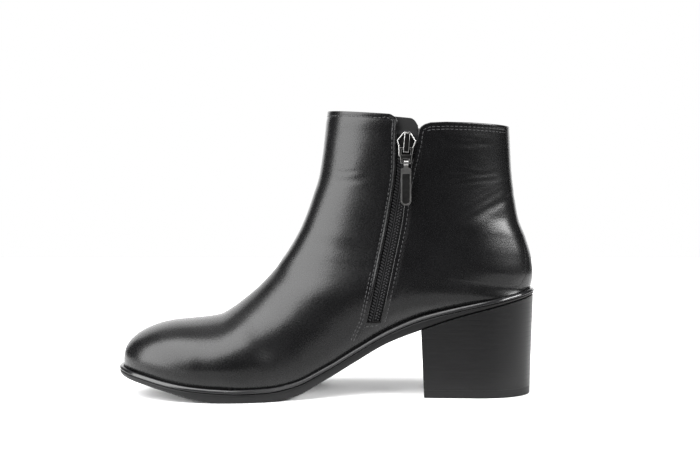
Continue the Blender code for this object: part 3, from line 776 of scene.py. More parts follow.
def piece(name, mesh, finish, body=BOOT, nodes=()):
    """A finished object from a mesh in millimetres, which rides on a body and stands for CAD nodes."""
    bmesh.ops.scale(mesh, verts=mesh.verts, vec=Vector((MM, MM, MM)))
    data = bpy.data.meshes.new(name)
    mesh.to_mesh(data)
    mesh.free()
    data.shade_smooth()
    data.set_sharp_from_angle(angle=SHARP_ANGLE)
    data.materials.append(finish)
    made = bpy.data.objects.new(name, data)
    bpy.context.scene.collection.objects.link(made)
    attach(made, body)
    if nodes:
        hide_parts(*nodes)
    return made


def thicken(made, thickness):
    """Gives a sheet a wall on its inner side."""
    wall = made.modifiers.new("Wall", "SOLIDIFY")
    wall.thickness = thickness * MM
    wall.offset = -1.0


def soften(made, width, segments=2):
    """Rounds the sharp edges of a piece."""
    edge = made.modifiers.new("Edge", "BEVEL")
    edge.width = width * MM
    edge.segments = segments
    edge.limit_method = "ANGLE"
    edge.angle_limit = SOFTEN_ANGLE
    edge.use_clamp_overlap = True
    edge.harden_normals = False


class Value:
    """A shader socket that takes part in Python expressions."""

    def __init__(self, nodes, socket):
        self.nodes = nodes
        self.socket = socket

    def _math(self, operation, first, second):
        return self.nodes.add("ShaderNodeMath", {"operation": operation}, {0: first, 1: second})

    def __add__(self, other):
        return self._math("ADD", self, other)

    def __radd__(self, other):
        return self._math("ADD", other, self)

    def __sub__(self, other):
        return self._math("SUBTRACT", self, other)

    def __rsub__(self, other):
        return self._math("SUBTRACT", other, self)

    def __mul__(self, other):
        return self._math("MULTIPLY", self, other)

    def __rmul__(self, other):
        return self._math("MULTIPLY", other, self)

    def __pow__(self, other):
        return self._math("POWER", self, other)

    def __rpow__(self, other):
        return self._math("POWER", other, self)


class Nodes:
    """The nodes of one finish."""

    def __init__(self, name):
        self.material = bpy.data.materials.new(name)
        self.material.use_nodes = True
        self.tree = self.material.node_tree
        self.shader = self.tree.nodes["Principled BSDF"]

    def add(self, kind, settings=None, inputs=None, output=0):
        """Adds a node: its settings first, then the values or links of its sockets."""
        node = self.tree.nodes.new(kind)
        for name, setting in (settings or {}).items():
            setattr(node, name, setting)
        for name, given in (inputs or {}).items():
            self.put(node.inputs[name], given)
        return Value(self, node.outputs[output])

    def put(self, socket, given):
        """Links a socket, or sets it to a value."""
        if isinstance(given, Value):
            self.tree.links.new(given.socket, socket)
        else:
            socket.default_value = given

    def set(self, **inputs):
        """Sets sockets of the Principled shader, with _ for a space in a name."""
        for name, given in inputs.items():
            self.put(self.shader.inputs[name.replace("_", " ")], given)
        return self.material

    def place(self):
        """Object coordinates, in metres."""
        return self.add("ShaderNodeTexCoord", output="Object")

    def noise(self, size, detail=2.0, stretch=(1.0, 1.0, 1.0)):
        """Soft noise whose patches are about size millimetres wide."""
        turned = self.add("ShaderNodeMapping", {}, {"Vector": self.place(), "Scale": stretch})
        inputs = {"Vector": turned, "Scale": 1.0 / (size * MM), "Detail": detail}
        return self.add("ShaderNodeTexNoise", {"noise_dimensions": "3D"}, inputs)

    def cells(self, size, feature="F1"):
        """Distance pattern of cells about size millimetres wide."""
        settings = {"voronoi_dimensions": "3D", "feature": feature}
        inputs = {"Vector": self.place(), "Scale": 1.0 / (size * MM)}
        return self.add("ShaderNodeTexVoronoi", settings, inputs)

    def part(self, axis):
        """One object coordinate, in metres."""
        return self.add("ShaderNodeSeparateXYZ", {}, {"Vector": self.place()}, output=axis)

    def waves(self, coordinate, size):
        """Lines across a coordinate, about size millimetres apart, from -1 to 1."""
        turns = coordinate * (2.0 * math.pi / (size * MM))
        return self.add("ShaderNodeMath", {"operation": "SINE"}, {0: turns})

    def rise(self, value, low, high):
        """Share from 0 at low to 1 at high."""
        return self.add("ShaderNodeMapRange", {}, {"Value": value, "From Min": low, "From Max": high})

    def mix(self, share, first, second):
        """A colour between two colours."""
        inputs = {0: share, 6: first, 7: second}
        return self.add("ShaderNodeMix", {"data_type": "RGBA"}, inputs, output=2)

    def shades(self, share, colour, dark, light):
        """A colour that changes between a darker and a lighter shade of itself."""
        return self.mix(share, shade_of(colour, dark), shade_of(colour, light))

    def bump(self, height, depth):
        """A normal from a height of 0 to 1 that stands for a depth in millimetres."""
        inputs = {"Height": height, "Distance": depth * MM, "Strength": 1.0}
        return self.add("ShaderNodeBump", {}, inputs)


def shade_of(colour, factor):
    """A colour made lighter or darker."""
    return tuple(channel * factor for channel in colour[:3]) + (1.0,)


def leather_finish(name, looks, gloss, grain):
    """Black grained leather, smoother and shinier on its high spots."""
    nodes = Nodes(name)
    broad = nodes.noise(22.0, 3.0)
    pores = nodes.cells(looks.grain_size / MM, "SMOOTH_F1")
    mottle = nodes.noise(0.8, 4.0)
    fine = nodes.noise(0.35, 2.0)
    tone = nodes.shades(broad, looks.colour, 0.75, 1.35)
    rough = gloss + 0.08 * (broad - 0.5) + 0.14 * (mottle - 0.5) + 0.06 * (fine - 0.5)
    height = pores * 0.3 + mottle * 0.6 + fine * 0.1
    return nodes.set(
        Base_Color=tone,
        Roughness=rough,
        Normal=nodes.bump(height, grain),
        Specular_IOR_Level=looks.sheen,
    )


def cloth_finish(name, colour, pitch, roughness):
    """Woven or knitted cloth with crossed threads."""
    nodes = Nodes(name)
    across = nodes.waves(nodes.part("X") + nodes.part("Z") * 0.15, pitch)
    along = nodes.waves(nodes.part("Z"), pitch * 0.8)
    weave = across * along * 0.5 + 0.5
    tone = nodes.shades(weave, colour, 0.6, 1.5)
    normal = nodes.bump(weave, 0.08)
    return nodes.set(Base_Color=tone, Roughness=roughness, Normal=normal, Specular_IOR_Level=0.2)


def lining_finish(name, colour):
    """Matte lining leather with a soft nap and small pores."""
    nodes = Nodes(name)
    nap = nodes.noise(0.5, 3.0)
    patches = nodes.noise(18.0, 2.0)
    tone = nodes.shades(patches * 0.7 + nap * 0.3, colour, 0.7, 1.4)
    rough = 0.62 + 0.15 * nap
    return nodes.set(Base_Color=tone, Roughness=rough, Normal=nodes.bump(nap, 0.06), Specular_IOR_Level=0.3)


# Where the welt's edge grows dull behind the ball, and bright again before the seat, in metres
DULL_FROM, DULL_AT, BRIGHT_FROM, BRIGHT_AT = -0.075, -0.02, 0.05, 0.09


def welt_finish(name, colour, gloss):
    """Inked and polished edge with faint streaks along it, duller under the arch."""
    nodes = Nodes(name)
    streaks = nodes.noise(1.2, 2.0, (0.15, 0.15, 1.0))
    patches = nodes.noise(9.0, 2.0)
    tone = nodes.shades(patches, colour, 0.8, 1.3)
    behind_ball = nodes.rise(nodes.part("X"), DULL_FROM, DULL_AT)
    before_seat = nodes.rise(nodes.part("X"), BRIGHT_AT, BRIGHT_FROM)
    rough = gloss + 0.26 * behind_ball * before_seat + 0.16 * (streaks - 0.5) + 0.08 * (patches - 0.5)
    normal = nodes.bump(streaks, 0.03)
    return nodes.set(Base_Color=tone, Roughness=rough, Normal=normal, Specular_IOR_Level=0.42)


# Zigzag ribs of the underside in millimetres, and how far down a face has to look to have them
RIB_PITCH, RIB_ZIGZAG, RIB_DEPTH = 4.2, 4.0, 0.42
RIBS_FROM, RIBS_AT = -0.8, -0.95


def rubber_finish(name, colour, roughness):
    """Moulded rubber, matte and very finely pitted, with zigzag ribs where it faces down."""
    nodes = Nodes(name)
    pits = nodes.noise(0.4, 3.0)
    dust = nodes.noise(14.0, 3.0)
    tone = nodes.shades(dust, colour, 0.85, 1.25)
    normal = nodes.add("ShaderNodeNewGeometry", output="Normal")
    upwards = nodes.add("ShaderNodeSeparateXYZ", {}, {"Vector": normal}, output="Z")
    under = nodes.rise(upwards, RIBS_FROM, RIBS_AT)
    zigzag = nodes.add("ShaderNodeMath", {"operation": "PINGPONG"}, {0: nodes.part("Y"), 1: RIB_ZIGZAG * MM})
    ribs = nodes.waves(nodes.part("X") + zigzag, RIB_PITCH) * 0.5 + 0.5
    return nodes.set(
        Base_Color=tone,
        Roughness=roughness + 0.12 * (dust - 0.5),
        Normal=nodes.bump(0.12 * pits + 0.88 * ribs * under, RIB_DEPTH),
        Specular_IOR_Level=0.2,
    )


# Layers of the stacked heel in millimetres, and how narrow the lines between them are
LAYER_PITCH, LAYER_SWAY, LINE_POWER = 2.9, 0.3, 14.0


def heel_finish(name, colour, gloss):
    """Stacked heel, inked black, whose layers show as faint lines."""
    nodes = Nodes(name)
    level = nodes.part("Z") + nodes.noise(40.0, 1.0) * (LAYER_SWAY * MM)
    lines = nodes.waves(level, LAYER_PITCH) * 0.5 + 0.5
    grooves = lines**LINE_POWER
    streaks = nodes.noise(0.9, 3.0, (0.08, 0.08, 1.0))
    tone = nodes.shades(streaks, colour, 0.75, 1.4)
    rough = gloss + 0.14 * (streaks - 0.5) + 0.06 * grooves
    height = 0.25 * streaks + 0.75 * (1.0 - grooves)
    normal = nodes.bump(height, 0.03)
    return nodes.set(Base_Color=tone, Roughness=rough, Normal=normal, Specular_IOR_Level=0.22)


def coil_finish(name, colour):
    """Drawn nylon of the coil, slightly glossy."""
    nodes = Nodes(name)
    drawn = nodes.noise(0.6, 2.0, (1.0, 1.0, 0.3))
    tone = nodes.shades(drawn, colour, 0.8, 1.3)
    rough = 0.34 + 0.12 * drawn
    normal = nodes.bump(drawn, 0.03)
    return nodes.set(Base_Color=tone, Roughness=rough, Normal=normal, Specular_IOR_Level=0.33)


def metal_finish(name, colour):
    """Dark nickel with a brushed, slightly worn face."""
    nodes = Nodes(name)
    brushed = nodes.noise(0.35, 2.0, (1.0, 1.0, 0.06))
    worn = nodes.noise(2.6, 3.0)
    tone = nodes.shades(worn, colour, 0.6, 1.5)
    rough = 0.20 + 0.14 * worn + 0.08 * brushed
    return nodes.set(Base_Color=tone, Roughness=rough, Metallic=1.0, Normal=nodes.bump(brushed, 0.015))


def thread_finish(name, colour):
    """Waxed thread with its twist."""
    nodes = Nodes(name)
    twist = nodes.noise(0.3, 2.0)
    tone = nodes.shades(twist, colour, 0.7, 1.5)
    return nodes.set(Base_Color=tone, Roughness=0.5 + 0.15 * twist, Normal=nodes.bump(twist, 0.04))


def slab(profile, top_height, bottom_height, across=14, turn=list):
    """A closed layer of the sole. The profile's rows go down: stations, margin, share of the depth."""
    edges = [(turn(outline(stations, margin)), share) for stations, margin, share in profile]

    def at(point, share):
        x, y = point
        return Vector((x, y, top_height(x, y) * (1.0 - share) + bottom_height(x, y) * share))

    rows = []
    for index in range(len(profile[0][0])):
        over, under = edges[0][0][index], edges[-1][0][index]
        ring = [at(over[0].lerp(over[1], step / across), 0.0) for step in range(1, across)]
        ring += [at(pairs[index][1], share) for pairs, share in edges]
        ring += [at(under[1].lerp(under[0], step / across), 1.0) for step in range(1, across)]
        ring += [at(pairs[index][0], share) for pairs, share in reversed(edges)]
        rows.append(ring + ring[:1])
    return close_ends(grid_on(rows))


def zip_middle(z):
    """X of the zip's middle line at a height."""
    slot = between(ZIP, z)
    return 0.5 * (slot.front_x + slot.back_x)


def strip(low_z, top, left, right, outer, inner, along=70, across=16):
    """A band that follows the inside of the shaft, between two depths behind the leather's face."""
    rows = []
    for step in range(along + 1):
        faces = {outer: [], inner: []}
        for column in range(across + 1):
            shift = left + (right - left) * column / across
            z = low_z + (top(shift) - low_z) * step / along
            place, normal = on_leather(Leather.smooth, zip_middle(z) + shift, z)
            for depth in faces:
                faces[depth].append(place - normal * depth)
        ring = faces[outer] + faces[inner][::-1]
        rows.append(ring + ring[:1])
    return close_ends(grid_on(rows))


# Sides and rings of a bead, and points between two points of a line on the leather
BEAD_SIDES, BEAD_RINGS, LINE_STEPS = 6, 5, 4


def bead(length, width, height):
    """A small stretched ball that lies along X, for stitches and coil turns."""
    mesh = bmesh.new()
    bmesh.ops.create_uvsphere(mesh, u_segments=BEAD_SIDES, v_segments=BEAD_RINGS, radius=0.5)
    bmesh.ops.rotate(mesh, verts=mesh.verts, matrix=Matrix.Rotation(0.5 * math.pi, 3, "Y"))
    bmesh.ops.scale(mesh, verts=mesh.verts, vec=Vector((length, width, height)))
    data = bpy.data.meshes.new("bead")
    mesh.to_mesh(data)
    mesh.free()
    return data


def set_beads(mesh, data, places):
    """Puts a copy of a bead at each place, direction and normal."""
    for place, along, normal in places:
        known = len(mesh.verts)
        mesh.from_mesh(data)
        mesh.verts.ensure_lookup_table()
        side = normal.cross(along).normalized()
        turn = Matrix((along.normalized(), side, normal)).transposed()
        added = mesh.verts[known:]
        bmesh.ops.rotate(mesh, verts=added, matrix=turn)
        bmesh.ops.translate(mesh, verts=added, vec=place)


def spaced(points, pitch):
    """Places along a line of points at an even pitch, with their directions."""
    places = []
    left = 0.5 * pitch
    for start, end in zip(points, points[1:]):
        along = end - start
        while left <= along.length:
            places.append((start + along.normalized() * left, along.normalized()))
            left += pitch
        left -= along.length
    return places


def stitch_row(points, pitch, sink):
    """Places of stitches on the leather near a line of points."""
    row = []
    for place, along in spaced(points, pitch):
        near, normal, _, _ = Leather.worked.find_nearest(place)
        flat = (along - normal * along.dot(normal)).normalized()
        row.append((near - normal * sink, flat, normal))
    return row


def medial_line(line):
    """Points of the leather's inner side under a line in X and Z."""
    points = []
    for start, end in zip(line, line[1:]):
        for step in range(LINE_STEPS):
            at = start.lerp(end, step / LINE_STEPS)
            place, _ = on_leather(Leather.smooth, at.x, at.y)
            if place is not None:
                points.append(place)
    return points


# The most of an edge that the arc of one corner may take
CORNER_SHARE = 0.49


def rounded(corners, radius, steps=6):
    """A closed outline whose corners are arcs of a radius, or less where an edge is short."""
    points = []
    count = len(corners)
    for index, corner in enumerate(corners):
        here = Vector(corner)
        to_last = Vector(corners[index - 1]) - here
        to_next = Vector(corners[(index + 1) % count]) - here
        half_angle = 0.5 * to_last.angle(to_next)
        room = CORNER_SHARE * min(to_last.length, to_next.length)
        tangent = min(radius / math.tan(half_angle), room)
        start = here + to_last.normalized() * tangent
        end = here + to_next.normalized() * tangent
        for step in range(steps + 1):
            share = step / steps
            points.append(start.lerp(here, share).lerp(here.lerp(end, share), share))
    return points


def mirrored(half):
    """A closed outline from its right half, from top to bottom."""
    return half + [(-x, z) for x, z in half[::-1] if abs(x) > WELD]


def symmetric(half, radius, less=0.0):
    """A rounded outline from its right half, made narrower on both sides by a little."""
    return rounded(mirrored([(x - less, z) for x, z in half]), radius)


def loop_at(mesh, points, y):
    """A closed loop of edges in X and Z at a depth."""
    verts = [mesh.verts.new((x, y, z)) for x, z in points]
    return [mesh.edges.new((vert, after)) for vert, after in zip(verts, verts[1:] + verts[:1])]


def plate(outlines, front, back):
    """A flat plate from outlines in X and Z, its holes among them, between two depths."""
    mesh = bmesh.new()
    edges = []
    for points in outlines:
        edges += loop_at(mesh, points, front)
    bmesh.ops.triangle_fill(mesh, use_beauty=True, use_dissolve=False, edges=edges)
    made = bmesh.ops.extrude_face_region(mesh, geom=mesh.faces[:])
    moved = [part for part in made["geom"] if isinstance(part, bmesh.types.BMVert)]
    bmesh.ops.translate(mesh, verts=moved, vec=Vector((0.0, back - front, 0.0)))
    bmesh.ops.recalc_face_normals(mesh, faces=mesh.faces)
    return mesh


def sunk_plate(outer, inner, front, back, floor):
    """A plate with a sunk panel in its front."""
    mesh = bmesh.new()
    rim, panel = loop_at(mesh, outer, front), loop_at(mesh, inner, front)
    bmesh.ops.triangle_fill(mesh, use_beauty=True, use_dissolve=False, edges=rim + panel)
    rear, base = loop_at(mesh, outer, back), loop_at(mesh, inner, floor)
    bmesh.ops.bridge_loops(mesh, edges=rim + rear)
    bmesh.ops.bridge_loops(mesh, edges=panel + base)
    for loop in (rear, base):
        bmesh.ops.contextual_create(mesh, geom=loop)
    bmesh.ops.recalc_face_normals(mesh, faces=mesh.faces)
    return mesh


def film(half, radius, less, floor):
    """A thin film on the floor of a sunk panel."""
    return plate([symmetric(half, radius, less)], floor - FILM_HALF, floor + FILM_HALF)


def set_at(mesh, place, slant=0.0):
    """Turns a mesh about Y and moves it to a place."""
    bmesh.ops.rotate(mesh, verts=mesh.verts, matrix=Matrix.Rotation(slant, 3, "Y"))
    bmesh.ops.translate(mesh, verts=mesh.verts, vec=place)
    return mesh


def join(mesh, other):
    """Adds another mesh to a mesh and frees it."""
    data = bpy.data.meshes.new("joined")
    other.to_mesh(data)
    other.free()
    mesh.from_mesh(data)
    bpy.data.meshes.remove(data)


class BootLeather(bpy.types.PropertyGroup):
    """Leather of the upper and its lining."""

    colour: bpy.props.FloatVectorProperty(
        name="Leather", description="Colour of the upper", subtype="COLOR", default=(0.0024, 0.0024, 0.0026)
    )
    gloss: bpy.props.FloatProperty(
        name="Roughness",
        description="Roughness of the upper",
        subtype="FACTOR",
        min=0.0,
        max=1.0,
        default=0.27,
    )
    sheen: bpy.props.FloatProperty(
        name="Reflection", description="Strength of the upper's reflections", subtype="FACTOR", default=0.33
    )
    grain_size: bpy.props.FloatProperty(
        name="Grain", description="Width of the leather's grain", unit="LENGTH", default=0.0011
    )
    thickness: bpy.props.FloatProperty(
        name="Thickness", description="Thickness of the leather", unit="LENGTH", default=0.0012
    )
    lining: bpy.props.FloatVectorProperty(
        name="Lining", description="Colour of the lining", subtype="COLOR", default=(0.030, 0.028, 0.027)
    )
    thread: bpy.props.FloatVectorProperty(
        name="Thread", description="Colour of the stitches", subtype="COLOR", default=(0.017, 0.017, 0.018)
    )
    stitch_pitch: bpy.props.FloatProperty(
        name="Stitch pitch", description="Distance from stitch to stitch", unit="LENGTH", default=0.0027
    )


class BootSole(bpy.types.PropertyGroup):
    """Welt, outsole and heel."""

    welt: bpy.props.FloatVectorProperty(
        name="Welt", description="Colour of the welt's edge", subtype="COLOR", default=(0.007, 0.007, 0.0075)
    )
    welt_gloss: bpy.props.FloatProperty(
        name="Welt roughness", description="Roughness of the welt's edge", subtype="FACTOR", default=0.20
    )
    rubber: bpy.props.FloatVectorProperty(
        name="Rubber",
        description="Colour of outsole and lift",
        subtype="COLOR",
        default=(0.0035, 0.0035, 0.0037),
    )
    heel: bpy.props.FloatVectorProperty(
        name="Heel", description="Colour of the heel", subtype="COLOR", default=(0.003, 0.003, 0.0032)
    )
    heel_gloss: bpy.props.FloatProperty(
        name="Heel roughness", description="Roughness of the heel", subtype="FACTOR", default=0.36
    )


class BootZip(bpy.types.PropertyGroup):
    """Zip, slider and pull."""

    coil_pitch: bpy.props.FloatProperty(
        name="Coil pitch", description="Distance between turns of the coil", unit="LENGTH", default=0.00172
    )
    coil: bpy.props.FloatVectorProperty(
        name="Coil", description="Colour of the coil", subtype="COLOR", default=(0.013, 0.013, 0.014)
    )
    tape: bpy.props.FloatVectorProperty(
        name="Tape", description="Colour of the tape", subtype="COLOR", default=(0.012, 0.012, 0.013)
    )
    metal: bpy.props.FloatVectorProperty(
        name="Metal", description="Colour of slider and pull", subtype="COLOR", default=(0.34, 0.335, 0.33)
    )


class BootStage(bpy.types.PropertyGroup):
    """Floor, lights and camera."""

    floor: bpy.props.FloatVectorProperty(
        name="Floor", description="Colour of the floor", subtype="COLOR", default=(0.9, 0.9, 0.9)
    )
    light: bpy.props.FloatProperty(
        name="Light", description="Factor on the power of all lights", subtype="FACTOR", default=1.0
    )
    lens: bpy.props.FloatProperty(
        name="Lens", description="Focal length of the camera in millimetres", unit="CAMERA", default=58.99
    )


# Room behind the leather for its lining
LINING_GAP = 0.05

# Edges of the sole's layers from top to bottom: margin outside the feather line, share of the depth
INSOLE_MARGIN = -WALL - 1.3
INSOLE_EDGE = [(-0.8, 0.0), (-0.2, 0.2), (0.0, 0.5), (0.0, 1.0)]
WELT_EDGE = [(1.4, 0.0), (1.85, 0.04), (2.15, 0.14), (2.45, 0.55)]
WELT_EDGE += [(2.57, 0.74), (2.6, 0.86), (2.5, 0.96), (2.2, 1.0)]
OUTSOLE_EDGE = [(1.5, 0.0), (2.1, 0.06), (2.3, 0.16), (2.2, 0.35)]
OUTSOLE_EDGE += [(1.9, 0.6), (1.4, 0.85), (1.0, 0.95), (0.5, 1.0)]
HEEL_TOP_MARGIN, HEEL_FLOOR_MARGIN, HEEL_LAYERS, LIFT_SEAM = 2.0, 0.1, 8, 0.03
OUTSOLE_ROUGHNESS, LIFT_ROUGHNESS = 0.45, 0.48


def edge_rows(edge):
    """Profile of a layer that runs all round the foot."""
    stations = foot_stations()
    return [(stations, margin, share) for margin, share in edge]


class BOOT_OT_upper(bpy.types.Operator):
    """Adds the leather upper with its slot, turned edges and creases"""

    bl_idname = "boot.upper"
    bl_label = "Upper"

    def execute(self, context):
        looks = context.scene.boot_leather
        finish = leather_finish("boot_leather", looks, looks.gloss, UPPER_GRAIN)
        made = piece("boot_upper", leather_sheet(), finish, nodes=["upper"])
        thicken(made, looks.thickness / MM)
        soften(made, LEATHER_ROUND)
        piece("slot_facing_front", facing(FRONT_SEAM, FRONT_FACING, 1), finish)
        piece("slot_facing_back", facing(BACK_EDGE, BACK_FACING, -1), finish)
        piece("back_stay", back_stay(), finish)
        return {"FINISHED"}


class BOOT_OT_lining(bpy.types.Operator):
    """Adds the lining inside the upper, and the insole"""

    bl_idname = "boot.lining"
    bl_label = "Lining and insole"

    def execute(self, context):
        looks = context.scene.boot_leather
        finish = lining_finish("lining_leather", looks.lining)
        mesh = grid_on(upper_rows()[::2])
        cut_slot(mesh)
        depth = looks.thickness / MM + LINING_GAP
        move_out(mesh, lambda point: -depth)
        made = piece("boot_lining", mesh, finish)
        thicken(made, WALL - depth)

        profile = edge_rows([(INSOLE_MARGIN + more, share) for more, share in INSOLE_EDGE])

        def low(x, y):
            return feather_height(x, y) + INSOLE_LIFT

        def high(x, y):
            return low(x, y) + INSOLE_THICK

        piece("boot_insole", slab(profile, high, low), finish, nodes=["insole"])
        return {"FINISHED"}


def welt_top(x, y):
    """Height of the welt's upper face."""
    return feather_height(x, y) - GAP


def outsole_top(x, y):
    """Height of the outsole's upper face."""
    return welt_top(x, y) - WELT_THICK - GAP


class BOOT_OT_sole(bpy.types.Operator):
    """Adds the rounded welt and the outsole below it"""

    bl_idname = "boot.sole"
    bl_label = "Welt and outsole"

    def execute(self, context):
        looks = context.scene.boot_sole
        finish = welt_finish("polished_welt", looks.welt, looks.welt_gloss)
        welt = slab(edge_rows(WELT_EDGE), welt_top, lambda x, y: welt_top(x, y) - WELT_THICK)
        piece("boot_welt", welt, finish, nodes=["welt"])
        finish = rubber_finish("outsole_rubber", looks.rubber, OUTSOLE_ROUGHNESS)
        outsole = slab(edge_rows(OUTSOLE_EDGE), outsole_top, tread_height)
        piece("boot_outsole", outsole, finish, nodes=["outsole"])
        return {"FINISHED"}


def turned_breast(pairs):
    """Plan points of the heel, with the outer end of its breast further back than the inner end."""
    moved = []
    for pair in pairs:
        moved.append([])
        for x, y in pair:
            front = 1.0 - ramp(x, BREAST_FLOOR_X, BREAST_END_X)
            moved[-1].append(Vector((x + BREAST_TURN * front * (y - BREAST_INNER_Y), y)))
    return moved


class BOOT_OT_heel(bpy.types.Operator):
    """Adds the stacked heel and its top lift"""

    bl_idname = "boot.heel"
    bl_label = "Heel"

    def execute(self, context):
        looks = context.scene.boot_sole
        drop = LIFT_TOP / tread_height(BREAST_TOP_X, 0.0)
        breast = BREAST_FLOOR_X + drop * (BREAST_TOP_X - BREAST_FLOOR_X)
        margin = HEEL_FLOOR_MARGIN + drop * (HEEL_TOP_MARGIN - HEEL_FLOOR_MARGIN)
        rows = []
        for step in range(HEEL_LAYERS + 1):
            share = step / HEEL_LAYERS
            front = BREAST_TOP_X + (breast - BREAST_TOP_X) * share
            rows.append((heel_stations(front), HEEL_TOP_MARGIN + (margin - HEEL_TOP_MARGIN) * share, share))

        def seat(x, y):
            return tread_height(x, y) - GAP

        block = slab(rows, seat, lambda x, y: LIFT_TOP + LIFT_SEAM, turn=turned_breast)
        finish = heel_finish("stacked_heel", looks.heel, looks.heel_gloss)
        made = piece("boot_heel", block, finish, nodes=["heel_block"])
        soften(made, HEEL_ROUND)
        rows = [(heel_stations(breast), margin, 0.0), (heel_stations(BREAST_FLOOR_X), HEEL_FLOOR_MARGIN, 1.0)]
        lift = slab(rows, lambda x, y: LIFT_TOP, lambda x, y: 0.0, turn=turned_breast)
        finish = rubber_finish("lift_rubber", looks.rubber, LIFT_ROUGHNESS)
        made = piece("boot_heel_lift", lift, finish, nodes=["heel_top_lift"])
        soften(made, HEEL_ROUND)
        return {"FINISHED"}


# Zip behind the slot: depths behind the leather's face, half widths, ends
ZIP_LOW = ZIP[0].z
TAPE_OUTER, TAPE_INNER, TAPE_HALF, TAPE_LOW, TAPE_TOP = 2.1, 2.8, 8.0, ZIP_LOW - 1.0, 158.0
GUARD_OUTER, GUARD_INNER, GUARD_LEFT, GUARD_RIGHT = 3.1, 4.3, -9.5, 8.1
GUARD_LOW, GUARD_TOP, GUARD_SLOPE, GUARD_STEPS = ZIP_LOW + 1.0, 165.6, 0.1, 34
CORNER_FROM, CORNER_DROP = 3.0, 7.0
CHAIN_HALF, CHAIN_TOP = 3.7, 156.0
# The ground behind the coil gets the tape's colour darkened, as painted shade between and under the coil's
# turns
GROUND_OUTER, GROUND_LOW, GROUND_PAINTED_SHADE = 1.55, ZIP_LOW + 0.3, 0.3

# Cloth of the tape and of the ground behind the coil: pitch of its threads, roughness
TAPE_CLOTH, GROUND_CLOTH = (0.7, 0.7), (0.9, 0.9)

# Beads of the coil: length, width and height, the cord's length as a share of the pitch
TURN_BEAD, LOOP_BEAD, CORD_BEAD = (2.7, 0.95, 1.0), (1.45, 0.85, 0.7), (1.35, 0.5, 0.5)
COIL_FROM, COIL_END, COIL_DEPTH = ZIP_LOW + 1.4, 1.0, 1.2


def guard_top(shift):
    """Height of the guard's upper edge, rounded towards the back."""
    corner = min(max(0.0, (shift - CORNER_FROM) / (GUARD_RIGHT - CORNER_FROM)), 1.0)
    return GUARD_TOP - GUARD_SLOPE * shift - CORNER_DROP * (1.0 - math.sqrt(1.0 - corner * corner))


class BOOT_OT_zip(bpy.types.Operator):
    """Adds the tape, the coil and the guard behind the slot"""

    bl_idname = "boot.zip"
    bl_label = "Zip"

    def execute(self, context):
        looks = context.scene.boot_zip
        finish = cloth_finish("zip_tape_cloth", looks.tape, *TAPE_CLOTH)
        tape = strip(TAPE_LOW, lambda shift: TAPE_TOP, -TAPE_HALF, TAPE_HALF, TAPE_OUTER, TAPE_INNER)
        piece("zip_tape_band", tape, finish, nodes=["zip_tape"])
        finish = leather_finish("guard_leather", context.scene.boot_leather, GUARD_GLOSS, GUARD_GRAIN)
        sides = (GUARD_LEFT, GUARD_RIGHT)
        guard = strip(GUARD_LOW, guard_top, *sides, GUARD_OUTER, GUARD_INNER, across=GUARD_STEPS)
        made = piece("zip_guard_flap", guard, finish, nodes=["zip_guard"])
        soften(made, LEATHER_ROUND)
        ground = strip(GROUND_LOW, lambda shift: CHAIN_TOP, -CHAIN_HALF, CHAIN_HALF, GROUND_OUTER, WALL)
        # Painted shade: the ground's cloth is the tape's colour darkened
        finish = cloth_finish("zip_ground_cloth", shade_of(looks.tape, GROUND_PAINTED_SHADE), *GROUND_CLOTH)
        piece("zip_coil_ground", ground, finish, nodes=["zip_chain"])
        finish = coil_finish("zip_coil_nylon", looks.coil)
        piece("zip_coil_turns", self.coil(looks.coil_pitch / MM), finish)
        return {"FINISHED"}

    def coil(self, pitch):
        """Slanted turns of the coil, the cord through them, and two staggered rows of knitted loops."""
        mesh = bmesh.new()
        turn, loop = bead(*TURN_BEAD), bead(*LOOP_BEAD)
        cord = bead(CORD_BEAD[0] * pitch, *CORD_BEAD[1:])
        count = int((CHAIN_TOP - COIL_END - ZIP_LOW) / pitch)
        rows = [(turn, -2.45, 0.0, (0.78, 0.0, -0.62)), (cord, -0.55, 0.0, (0.17, 0.0, 1.0))]
        rows += [(loop, 0.95, 0.5, (0.75, 0.0, 0.5)), (loop, 2.55, 0.0, (0.75, 0.0, -0.35))]
        for shape, shift, stagger, way in rows:
            way = Vector(way).normalized()
            places = []
            for step in range(count):
                z = COIL_FROM + pitch * (step + stagger)
                place, normal = on_leather(Leather.smooth, zip_middle(z) + shift, z)
                flat = (way - normal * way.dot(normal)).normalized()
                places.append((place - normal * COIL_DEPTH, flat, normal))
            set_beads(mesh, shape, places)
        return mesh


# Rows of stitches: distance from the edge, extra distance of a second row and where it ends
BESIDE, LOW_ROW, LOW_ROW_TOP, CORNER_ROW, CORNER_ROW_LOW = 2.5, 1.5, 78.0, 1.7, 161.0
SLOT_END_ROW = [(22.6, 42.6), (33.6, 43.6)]
STITCH_LONG, STITCH_WIDE, STITCH_HIGH, STITCH_SINK = 0.78, 0.62, 0.55, 0.05


